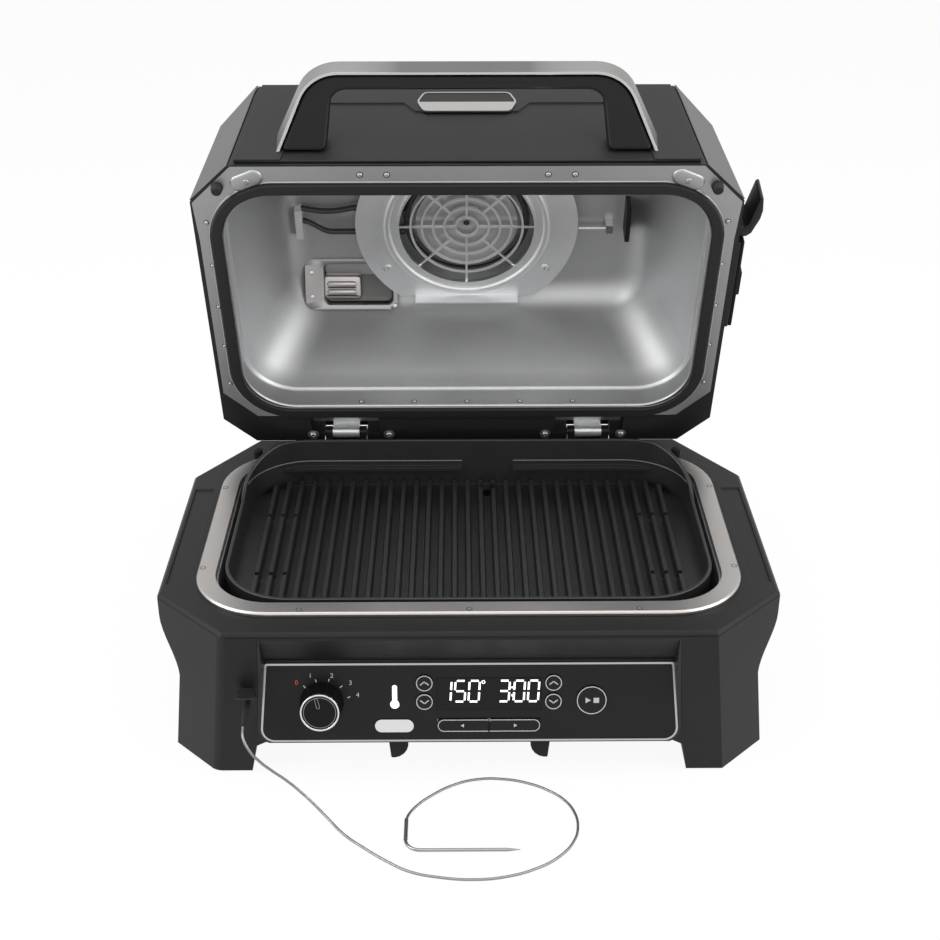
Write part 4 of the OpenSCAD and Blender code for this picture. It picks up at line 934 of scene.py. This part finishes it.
class GRILL_OT_lid_liner(Operator):
    """Draw the smooth liner of the lid with its rolled edge, and the bead of the rim"""

    bl_idname = "grill.lid_liner"
    bl_label = "Lid liner"

    def execute(self, context):
        x, y, half_x, half_y = MOUTH
        loops = [(x, y, half_x + across, half_y + along, MOUTH_R + across, z) for across, along, z in LINER_CURVE]
        across, along, foot_z = LINER_CURVE[-1]
        for z in WALL_STEPS:
            rise = z - foot_z
            side = half_x + across - WALL_LEAN["side"] * rise
            rear = y + half_y + along - WALL_LEAN["rear"] * rise
            front = y - half_y - along + WALL_LEAN["front"] * rise
            if z > ROOF_Z:
                front = ROUND_FRONT - math.sqrt(ROOF_R ** 2 - (z - ROOF_Z) ** 2)
            loops.append((x, (rear + front) / 2, side, (rear - front) / 2, MOUTH_R, z))
        for angle in ROUND_STEPS:
            out, up = ROOF_R * math.cos(math.radians(angle)), ROOF_R * math.sin(math.radians(angle))
            rear, front = ROUND_REAR + out, ROUND_FRONT - out
            corner = ROUND_CORNER[0] + ROUND_CORNER[1] * out
            loops.append((x, (rear + front) / 2, ROUND_X + out, (rear - front) / 2, corner, ROOF_Z + up))
        shape = drawn(loops, FINE, foot=False)
        bmesh.ops.reverse_faces(shape, faces=shape.faces)
        liner = stand_in("lid_liner_drawn", shape, "lid_liner", smooth=50, place=LID)
        thicken(liner, LINER_T)
        out = RIM_BEAD_OUT
        bead = half_round((x, y, half_x + out, half_y + out, MOUTH_R + out, SHEET_Z), *RIM_BEAD)
        add_piece("rim_bead", bead, "lid_frame", smooth=60, place=LID)
        return {"FINISHED"}


class GRILL_OT_rim_sheet(Operator):
    """Lay the bright sheet over the lid's rim, with its corner pads and the guard's bead"""

    bl_idname = "grill.rim_sheet"
    bl_label = "Rim sheet"

    def execute(self, context):
        add_piece("rim_sheet", self.sheet(), "lid_frame", place=LID @ shift(0, 0, SHEET_Z))
        parts = []
        for side in (1, -1):
            pad = drawn([(0, 0) + row for row in PAD_ROWS])
            place = shift(side * PAD_AT[0], PAD_AT[1], SHEET_Z) @ turn(side * PAD_TURN, "Z")
            seat = place @ shift(0, 0, PAD_ROWS[-1][-1]) @ FACING_DOWN
            parts += [(pad, place), (screw(*metres(PAD_SCREW)), seat)]
        stand_in("corner_pads_pressed", joined(parts), "corner_pads", smooth=40, place=LID)
        bead = half_round(circle(0, FAN_Y, GUARD_BEAD_R, GUARD_Z), *GUARD_BEAD)
        add_piece("guard_bead", bead, "fan_guard", smooth=60, place=LID)
        pegs = []
        for low, high in islands("lid_bumpers", LID):
            low, high = low / MM, high / MM
            x, y = (low.x + high.x) / 2, (low.y + high.y) / 2
            r = (high.x - low.x) / 2
            rows = ((r, high.z), (r, high.z - 2), (r - 0.9, low.z + 1.2), (r - 2.0, low.z))
            pegs.append((drawn([circle(x, y, wide, z) for wide, z in rows]), HERE))
        stand_in("lid_bumpers_moulded", joined(pegs), "lid_bumpers", smooth=40, place=LID)
        return {"FINISHED"}

    def sheet(self):
        """The flat sheet with its opening, up to the rim's own face."""
        shape = bmesh.new()
        ring = [shape.verts.new((u * MM, v * MM, 0)) for u, v in RIM_SIDE]
        ring += [shape.verts.new((-u * MM, v * MM, 0)) for u, v in reversed(RIM_SIDE)]
        for a, b in zip(ring, ring[1:] + ring[:1]):
            shape.edges.new((a, b))
        verts, arcs, _ = outline(shape, FINE)
        x, y, half_x, half_y = MOUTH
        set_loop(verts, arcs, (x, y, half_x + SHEET_IN, half_y + SHEET_IN, MOUTH_R + SHEET_IN, 0))
        bmesh.ops.triangle_fill(shape, use_beauty=True, use_dissolve=False, edges=shape.edges[:])
        return raised(shape, (RIM_Z - SHEET_Z) * MM)


def islands(node, place):
    """Boxes of a solid's separate bits, in the axes of place."""
    shape = copy_of(node)
    shape.transform(place.inverted())
    done, boxes = set(), []
    for first in shape.verts:
        if first in done:
            continue
        done.add(first)
        group = [first]
        for vert in group:
            fresh = [v for v in (e.other_vert(vert) for e in vert.link_edges) if v not in done]
            done.update(fresh)
            group += fresh
        low = Vector([min(v.co[i] for v in group) for i in range(3)])
        high = Vector([max(v.co[i] for v in group) for i in range(3)])
        boxes.append((low, high))
    shape.free()
    return boxes


def screw(radius, height):
    """A pan head with a round drive, its seat at the origin."""
    shape = bmesh.new()
    bmesh.ops.create_circle(shape, cap_ends=True, segments=28, radius=radius)
    for rise, inward in ((0.55, 0.0), (0.3, 0.1), (0.15, 0.16), (0.0, 0.22), (-0.5, 0.06)):
        top = max(shape.faces, key=lambda f: f.calc_center_median().z + len(f.verts) * 1e-7)
        bmesh.ops.inset_region(shape, faces=[top], thickness=max(inward * radius, 1e-6), depth=0.0,
                               use_even_offset=True, use_boundary=True)
        bmesh.ops.translate(shape, vec=(0, 0, rise * height), verts=top.verts)
    bmesh.ops.recalc_face_normals(shape, faces=shape.faces)
    return shape


# The ring of painted shade under a screw head, dark where the gap around it falls in shade: radius and line as
# shares of the head's radius, and its height.
SCREW_SHADE_RING = (1.36, 0.4, 0.12)
# The screws beside the hinge's leaves and on the fan's guard: places, radius and height, and what lies under them:
# washers by the hinge, and rings of painted shade on the guard.
HINGE_SCREWS = (-173.5, -88.0, 88.0, 173.5)
HINGE_SCREW_AT = (176.5, 185.9)
HINGE_SCREW = (3.4, 2.0)
HINGE_WASHER = (6.2, 0.8)
GUARD_SCREWS = ((-90, 40), (90, 40))
GUARD_SCREW = (3.4, 1.9)
GUARD_SHADE_RING = (5.0, 1.4, 0.2)


def turned_screws(node, place, faces_down, drop=0.0):
    """Screw heads in place of a solid's plain discs, each in a dark ring of painted shade."""
    heads, rings = [], []
    for low, high in islands(node, place):
        span = high - low
        axis = min(range(3), key=lambda i: span[i])
        radius, height = max(span) / 2, span[axis]
        seat = (low + high) / 2
        seat[axis] = high[axis] if faces_down else low[axis]
        seat[axis] -= drop * MM
        tip = turn(90, "X") if axis == 1 else FACING_DOWN if axis == 2 and faces_down else HERE
        tip = Matrix.Translation(seat) @ tip
        wide, line, thick = SCREW_SHADE_RING
        heads.append((screw(radius, height), tip))
        # A dark hoop of painted shade, where the gap around the head is in shade.
        rings.append((hoop(radius * wide, radius * line, thick * MM, 32), tip))
    stand_in(node + "_turned", joined(heads), node, smooth=35, place=place)
    add_piece(node + "_rings", joined(rings), node, "scale", place=place)


class GRILL_OT_screws(Operator):
    """Turn the screw heads of the ring and of the lid's rim"""

    bl_idname = "grill.screws"
    bl_label = "Screws"

    def execute(self, context):
        turned_screws("rim_screws", LID, True, RIM_Z - SHEET_Z)
        turned_screws("ring_screws", BASE, False)
        heads = []
        for u in HINGE_SCREWS:
            place = shift(u, *HINGE_SCREW_AT) @ FACING_DOWN
            heads += [(screw(*metres(HINGE_SCREW)), place @ shift(0, 0, HINGE_WASHER[1])),
                      (disc(*metres(HINGE_WASHER), 36), place)]
        add_piece("hinge_leaf_screws", joined(heads), "hinge_leaves", "screw", 35, LID)
        places = [shift(u, v, GUARD_Z) @ FACING_DOWN for u, v in GUARD_SCREWS]
        heads = [(screw(*metres(GUARD_SCREW)), place) for place in places]
        # Rings of painted shade around the guard's screws.
        rings = [(hoop(*metres(GUARD_SHADE_RING), 32), place) for place in places]
        add_piece("guard_screws", joined(heads), "fan_guard", "screw", 35, LID)
        add_piece("guard_screw_shade_rings", joined(rings), "fan_guard", "scale", 35, LID)
        return {"FINISHED"}


# Plan of the side hook from its root on the lid's side, in millimetres.
HOOK_PLAN = ((-8, -40), (3, -40), (5, -20), (10, -15), (15, -20), (22, -50), (24, -52), (26, -51), (27.4, -36),
             (26, -26), (19, -8), (14, -4), (-8, -4))
HOOK_AT = (272.0, -72.0)
HOOK_Z = (216.0, 250.0)
# The hooks under the front: inner and outer side, the round of the inner corner with the angles of its cuts,
# and the outer side's step and slope.
STAND_X = (60.0, 80.0)
STAND_R = 15.0
STAND_CUTS = (15, 35, 55, 75)
STAND_STEP = 3.0
STAND_SLOPE = 0.11


class GRILL_OT_hooks(Operator):
    """Form the lid's side hook and the two rounded hooks under the front"""

    bl_idname = "grill.hooks"
    bl_label = "Hooks"

    def execute(self, context):
        shape = bmesh.new()
        shape.faces.new([shape.verts.new(((HOOK_AT[0] + u) * MM, (HOOK_AT[1] + v) * MM, HOOK_Z[0] * MM))
                         for u, v in HOOK_PLAN])
        raised(shape, (HOOK_Z[1] - HOOK_Z[0]) * MM)
        round_edges(shape, 1.2 * MM, 3, 20)
        stand_in("side_hook_formed", shape, "side_hook", smooth=40, place=LID)
        parts = [(self.stand_hook(side), HERE) for side in (-1, 1)]
        stand_in("stand_hooks_formed", joined(parts), "stand_hooks", smooth=40)
        return {"FINISHED"}

    def stand_hook(self, side):
        """One hook: its inner lower corner is cut to a round."""
        low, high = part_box("stand_hooks")
        y = (low[1] + high[1]) / 2
        inner, outer = (side * x * MM for x in STAND_X)
        r = STAND_R * MM
        hook = copy_of("stand_hooks", True)
        keep_side(hook, (0, 0, 0), (-side, 0, 0))
        middle = Vector((inner + side * r, y, low[2] + r))
        for angle in STAND_CUTS:
            a = math.radians(angle)
            away = Vector((-side * math.cos(a), 0, -math.sin(a)))
            keep_side(hook, middle + away * r, away)
        foot = Vector((outer - side * STAND_STEP * MM, y, low[2]))
        keep_side(hook, foot, Vector((side, 0, -STAND_SLOPE)).normalized())
        round_edges(hook, 1.6 * MM, 3, 24)
        bmesh.ops.recalc_face_normals(hook, faces=hook.faces)
        return hook


# The flap's cuts along its length, and its curl by the square of the way along and by the way along.
FLAP_CUTS = 10
FLAP_CURL = (4.6, -2.0)


class GRILL_OT_jack_flap(Operator):
    """Mould the soft cover of the probe's socket, curled back as it hangs open"""

    bl_idname = "grill.jack_flap"
    bl_label = "Jack flap"

    def execute(self, context):
        low, high = (Vector(corner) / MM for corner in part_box("jack_flap"))
        x, y = (low.x + high.x) / 2, (low.y + high.y) / 2
        half_x, half_y = (high.x - low.x) / 2, (high.y - low.y) / 2
        rows = ((0.5, low.z), (0.0, low.z + 0.6), (0.0, high.z - 0.6), (0.5, high.z))
        tab = drawn([(x, y, half_x - inset, half_y - inset, 6 - inset, z) for inset, z in rows])
        for step in range(1, FLAP_CUTS):
            at = low.y + (high.y - low.y) * step / FLAP_CUTS
            cut(tab, (0, at * MM, 0), (0, 1, 0), False)
        for vert in tab.verts:
            along = (high.y - vert.co.y / MM) / (high.y - low.y)
            vert.co.z += (FLAP_CURL[0] * along * along + FLAP_CURL[1] * along) * MM
        stand_in("jack_flap_moulded", tab, "jack_flap", smooth=50)
        return {"FINISHED"}


# The heating element's legs: their ends, how far the ring runs past, radius, height and rows.
LEG_FROM = -181.0
LEG_TO = -68.0
RING_PAST = 3.0
LEG_R = 3.3
LEG_Z = 324.0
LEG_ROWS = 28


def leg_bends(share):
    """How far the element's two legs stand from the fan's middle line, along their run."""
    climb = min(share / 0.28, 1.0)
    return (-18.0 + 4.5 * math.sin(math.pi * min(share / 0.5, 1.0)),
            -1.0 + 15.0 * climb * climb * (3 - 2 * climb))


class GRILL_OT_element(Operator):
    """Bend the legs of the heating element and keep its ring"""

    bl_idname = "grill.element"
    bl_label = "Heating element"

    def execute(self, context):
        ring = copy_of("heating_element")
        keep_side(ring, ((LEG_TO - RING_PAST) * MM, 0, 0), (-1, 0, 0))
        parts = [(ring, HERE)]
        for leg in range(2):
            rows = []
            for row in range(LEG_ROWS + 1):
                share = row / LEG_ROWS
                along = LEG_FROM + share * (LEG_TO - LEG_FROM)
                rows.append(circle(0, leg_bends(share)[leg], LEG_R, along))
            parts.append((drawn(rows, 6), LID @ shift(0, FAN_Y, LEG_Z) @ turn(90, "Y")))
        stand_in("heating_element_formed", joined(parts), "heating_element", "oxide", 50)
        return {"FINISHED"}


# The smoke outlet's own axes look out of the lid's ceiling. Its forms are rows of rounded rectangles.
OUTLET = LID @ shift(-131, 73, 331) @ turn(-24, "X")
OUTLET_PLATE = ((0, 0, 53, 30, 9, -6), (0, 0, 53, 30, 9, -13), (0, 0, 52.2, 29.2, 8.4, -14),
                (8, 0, 40, 24.5, 7, -14), (8, 0, 39, 23.5, 6.5, -13))
OUTLET_WELL = ((8, 0, 39, 23.5, 6.5, -13), (8, 0, 37.4, 22, 6, -4.5), (8, 0, 34, 19, 5, -3))
LOUVRE = ((-11, 4, 22.5, 15, 5, -3), (-11, 4, 22, 14.5, 5, -9.5), (-11, 4, 20.6, 13, 4.4, -11.6),
          (-11, 4, 18.6, 11, 3.6, -12.2))
LOUVRE_X = -11
# A rib's rows without its place, the ribs' places, and each slot's length and place; a slot is a strip of painted
# shade.
LOUVRE_RIB = ((16.8, 3.6, 3.4, -11.8), (16.4, 3.2, 3.1, -13.2), (15.2, 2.0, 1.9, -14.0))
LOUVRE_RIBS = (0.2, 9.4)
LOUVRE_SLOTS = ((33, 4.4), (35, 13.6))
OUTLET_SCREWS = ((-45, -14), (-45, 14), (49, 25))
OUTLET_SCREW = (2.6, 1.4)


class GRILL_OT_smoke_outlet(Operator):
    """Press the smoke outlet's rounded plate, its dark well and its louvre"""

    bl_idname = "grill.smoke_outlet"
    bl_label = "Smoke outlet"

    def execute(self, context):
        plate = drawn(OUTLET_PLATE, fill=False, foot=False)
        well = drawn(OUTLET_WELL, foot=False)
        bmesh.ops.reverse_faces(well, faces=well.faces)
        # The slots are thin black strips on the louvre's face, painted shade where the openings would be dark.
        slots = [(bar(length * MM, 1.3 * MM, 0.3 * MM), shift(LOUVRE_X, v, -12.5)) for length, v in LOUVRE_SLOTS]
        ribs = [(drawn([(LOUVRE_X, v) + row for row in LOUVRE_RIB]), HERE) for v in LOUVRE_RIBS]
        heads = [(screw(*metres(OUTLET_SCREW)), shift(x, y, -14) @ FACING_DOWN) for x, y in OUTLET_SCREWS]
        plate = stand_in("smoke_outlet_plate", plate, "smoke_outlet", "boss", 50, OUTLET)
        well = add_piece("smoke_outlet_well", well, "smoke_outlet", "scale", 50, OUTLET)
        stand_in("smoke_louvre_pressed", drawn(LOUVRE), "smoke_louvre", "louvre", 50, OUTLET)
        add_piece("smoke_louvre_ribs", joined(ribs), "smoke_louvre", "louvre", 50, OUTLET)
        add_piece("smoke_louvre_slots", joined(slots), "smoke_louvre", "lid", 50, OUTLET)
        thicken(plate, LINER_T)
        thicken(well, WELL_T)
        add_piece("smoke_outlet_screws", joined(heads), "smoke_outlet", "bright", 35, OUTLET)
        return {"FINISHED"}


# The badge's place on the lid's front, and its half sizes along its top, to its side point and its height.
BADGE_UP = 119.5
BADGE_OUT = 4.2
BADGE_TOP = 44.0
BADGE_END = 51.0
BADGE_HALF = 20.5


class GRILL_OT_badge(Operator):
    """Make the bare two-tone badge and its bright border"""

    bl_idname = "grill.badge"
    bl_label = "Badge"

    def execute(self, context):
        border = self.plaque(0.0)
        inner = border.faces[:]
        bmesh.ops.inset_region(border, faces=inner, thickness=1.8 * MM, use_even_offset=True, use_boundary=True)
        bmesh.ops.delete(border, geom=inner, context="FACES")
        raised(border, 1.6 * MM)
        plain = raised(self.plaque(1.6), 1.0 * MM)
        dark = plain.copy()
        for half, low in ((plain, True), (dark, False)):
            keep_side(half, (0, 0, 0), (0, 1 if low else -1, 0))
        place = FRONT_FACE @ shift(0, BADGE_UP, BADGE_OUT)
        stand_in("badge_border", border, "badge", "trim", place=place)
        add_piece("badge_lower", plain, "badge", "ring", place=place)
        add_piece("badge_upper", dark, "badge", "lid_front", place=place)
        return {"FINISHED"}

    def plaque(self, inset):
        """The badge's flat outline with soft corners, smaller by inset millimetres."""
        shape = bmesh.new()
        right = ((BADGE_TOP - inset, BADGE_HALF - inset), (BADGE_END - inset * 1.1, 0),
                 (BADGE_TOP - inset, inset - BADGE_HALF))
        points = right + tuple((-u, v) for u, v in reversed(right))
        shape.faces.new([shape.verts.new((u * MM, v * MM, 0)) for u, v in points])
        bmesh.ops.bevel(shape, geom=shape.verts[:], offset=5 * MM, offset_type="OFFSET", segments=4, profile=0.5,
                        affect="VERTICES", material=-1)
        if shape.faces[:][0].normal.z < 0:
            bmesh.ops.reverse_faces(shape, faces=shape.faces)
        return shape


# Route of the probe's cable from its plug to its crimp, in millimetres in the base's own frame.
CABLE_ROUTE = (
    (-209, -239.5, 100), (-207.5, -251, 96), (-202, -256, 86), (-194, -254, 72), (-184, -249, 57),
    (-173.5, -244, 43), (-162, -241, 28), (-149, -243, 14), (-136, -252, 5), (-118, -273, 1.5),
    (-98, -292, 1.5), (-76, -310, 1.5), (-56, -323, 1.5), (-28, -331, 1.5),
    (2, -334, 1.5), (30, -331, 1.5), (60, -320, 1.5), (82, -304, 1.5), (96, -284, 1.5), (101, -264, 1.5),
    (99, -244, 1.5), (91, -227, 1.5), (77, -213, 1.5), (56, -201, 1.5), (33, -195, 1.5), (8, -195, 1.5),
    (-15, -203, 1.5), (-37, -219, 1.5), (-51, -234, 1.5), (-58, -246, 1.5), (-60, -254, 2.3),
)


class GRILL_OT_probe_cable(Operator):
    """Lay the probe's braided cable from its plug to its spike"""

    bl_idname = "grill.probe_cable"
    bl_label = "Probe cable"

    def execute(self, context):
        curve = bpy.data.curves.new("probe_lead", "CURVE")
        curve.dimensions = "3D"
        curve.bevel_depth = sizes().cable_d / 2
        curve.bevel_resolution = sizes().cable_sides
        curve.use_fill_caps = True
        spline = curve.splines.new("BEZIER")
        spline.bezier_points.add(len(CABLE_ROUTE) - 1)
        for point, place in zip(spline.bezier_points, CABLE_ROUTE):
            point.co = BASE @ (Vector(place) * MM)
            point.handle_left_type = point.handle_right_type = "AUTO"
        spline.resolution_u = 8
        curve.materials.append(FINISHES["braid"])
        lead = bpy.data.objects.new("probe_lead", curve)
        context.scene.collection.objects.link(lead)
        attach(lead, "base")
        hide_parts("probe_cable")
        return {"FINISHED"}


# The camera fitted to the photograph: sensor and lens in millimetres, place in metres, pitch and yaw in degrees.
SENSOR = 36.0
LENS = 58.22
CAMERA_AT = (-0.0089, -1.4245, 0.9615)
CAMERA_PITCH = 27.795
CAMERA_YAW = -0.452
FAR_CLIP = 50.0


class GRILL_OT_camera(Operator):
    """Set the camera at the photograph's viewing angle"""

    bl_idname = "grill.camera"
    bl_label = "Camera"

    def execute(self, context):
        camera = bpy.data.objects.new("camera", bpy.data.cameras.new("camera"))
        camera.data.sensor_width = SENSOR
        camera.data.lens = LENS
        camera.data.clip_end = FAR_CLIP
        camera.location = CAMERA_AT
        camera.rotation_euler = (math.radians(90 - CAMERA_PITCH), 0, math.radians(CAMERA_YAW))
        context.scene.collection.objects.link(camera)
        context.scene.camera = camera
        return {"FINISHED"}


# The soft lamps: name, place, target, size and power.
LAMPS = (("left_box", (-2.2, -0.9, 1.5), (0, 0, 0.25), 1.8, 43),
         ("right_box", (2.2, -0.9, 1.5), (0, 0, 0.25), 1.8, 43),
         ("top_box", (0, -0.2, 2.6), (0, 0, 0.2), 2.8, 36),
         ("front_box", (0, -2.6, 1.2), (0, 0, 0.35), 1.4, 5))
# The floor's half size, its step below the feet, how much of its glow shows and its tones.
FLOOR_SIZE = 12.0
FLOOR_DROP = 0.0002
FLOOR_GLOW = 0.93
FLOOR_TONES = ((0.93, 0.93, 0.93, 1), (0.95, 0.95, 0.95, 1))
# Light from all sides, and the white that the camera sees behind.
SOFT_LIGHT = 0.45
WHITE = (1, 1, 1, 1)


class GRILL_OT_stage(Operator):
    """Set the pale floor, the soft lamps and the pale background"""

    bl_idname = "grill.stage"
    bl_label = "Stage"

    def execute(self, context):
        scene = context.scene
        scene.view_settings.view_transform = "Standard"
        shape = bmesh.new()
        bmesh.ops.create_grid(shape, x_segments=1, y_segments=1, size=FLOOR_SIZE)
        mesh = bpy.data.meshes.new("floor")
        shape.to_mesh(mesh)
        shape.free()
        floor = bpy.data.objects.new("floor", mesh)
        floor.location = (0, 0, -FLOOR_DROP)
        scene.collection.objects.link(floor)
        mesh.materials.append(self.floor_finish())
        self.backdrop(scene)
        for lamp in LAMPS:
            self.lamp(*lamp)
        return {"FINISHED"}

    def floor_finish(self):
        """A pale floor that the camera and mirrors see glow, so that it runs into the background."""
        f = Finish("pale_floor", Specular_IOR_Level=0.0, Roughness=0.9)
        f.colour(f.mix(f.noise(0.4, 2.0), *FLOOR_TONES))
        glow = f.node("ShaderNodeEmission", {}, {"Strength": 1.0})
        mixer = f.node("ShaderNodeMixShader", {},
                       {0: f.seen() * FLOOR_GLOW, 1: Value(f, f.shader.outputs[0]), 2: glow})
        f.feed(f.tree.nodes["Material Output"].inputs["Surface"], mixer)
        return f.material

    def backdrop(self, scene):
        """Soft light from all sides, with white behind for the camera and mirrors."""
        world = scene.world or bpy.data.worlds.new("studio")
        scene.world = world
        world.use_nodes = True
        n = Nodes(world.node_tree)
        soft = n.tree.nodes["Background"]
        n.feed(soft.inputs["Color"], WHITE)
        n.feed(soft.inputs["Strength"], SOFT_LIGHT)
        white = n.node("ShaderNodeBackground", {}, {"Color": WHITE, "Strength": 1.0})
        mixer = n.node("ShaderNodeMixShader", {}, {0: n.seen(), 1: Value(n, soft.outputs[0]), 2: white})
        n.feed(n.tree.nodes["World Output"].inputs["Surface"], mixer)

    def lamp(self, name, place, target, size, power):
        """A square soft lamp that looks at its target."""
        light = bpy.data.lights.new(name, "AREA")
        light.shape = "SQUARE"
        light.size = size
        light.energy = power
        lamp = bpy.data.objects.new(name, light)
        lamp.location = place
        aim = Vector(target) - Vector(place)
        lamp.rotation_euler = aim.to_track_quat("-Z", "Y").to_euler()
        bpy.context.scene.collection.objects.link(lamp)


class GRILL_PT_pieces(Panel):
    """Lists the steps of the grill's finish"""

    bl_label = "Grill"
    bl_idname = "GRILL_PT_pieces"
    bl_space_type = "VIEW_3D"
    bl_region_type = "UI"
    bl_category = "Grill"

    def draw(self, context):
        for step in STEPS:
            self.layout.operator(step.bl_idname)
        for group in (context.scene.grill_colours, context.scene.grill_sizes):
            for name in group.bl_rna.properties.keys():
                if name not in ("rna_type", "name"):
                    self.layout.prop(group, name)


STEPS = (GRILL_OT_finishes, GRILL_OT_camera, GRILL_OT_probe_cable, GRILL_OT_soft_edges, GRILL_OT_panel_marks,
         GRILL_OT_display, GRILL_OT_dial_trim, GRILL_OT_plate_bead, GRILL_OT_lid_liner, GRILL_OT_rim_sheet,
         GRILL_OT_screws, GRILL_OT_hooks, GRILL_OT_jack_flap, GRILL_OT_element, GRILL_OT_smoke_outlet,
         GRILL_OT_badge, GRILL_OT_stage)
CLASSES = (GrillColours, GrillSizes) + STEPS + (GRILL_PT_pieces,)


def register():
    for cls in CLASSES:
        bpy.utils.register_class(cls)
    bpy.types.Scene.grill_colours = PointerProperty(type=GrillColours)
    bpy.types.Scene.grill_sizes = PointerProperty(type=GrillSizes)


def unregister():
    del bpy.types.Scene.grill_sizes
    del bpy.types.Scene.grill_colours
    for cls in reversed(CLASSES):
        bpy.utils.unregister_class(cls)


def main():
    register()
    bpy.ops.grill.finishes()
    bpy.ops.grill.camera()
    bpy.ops.grill.probe_cable()
    bpy.ops.grill.soft_edges()
    bpy.ops.grill.panel_marks()
    bpy.ops.grill.display()
    bpy.ops.grill.dial_trim()
    bpy.ops.grill.plate_bead()
    bpy.ops.grill.lid_liner()
    bpy.ops.grill.rim_sheet()
    bpy.ops.grill.screws()
    bpy.ops.grill.hooks()
    bpy.ops.grill.jack_flap()
    bpy.ops.grill.element()
    bpy.ops.grill.smoke_outlet()
    bpy.ops.grill.badge()
    bpy.ops.grill.stage()


if __name__ == "__main__":
    main()
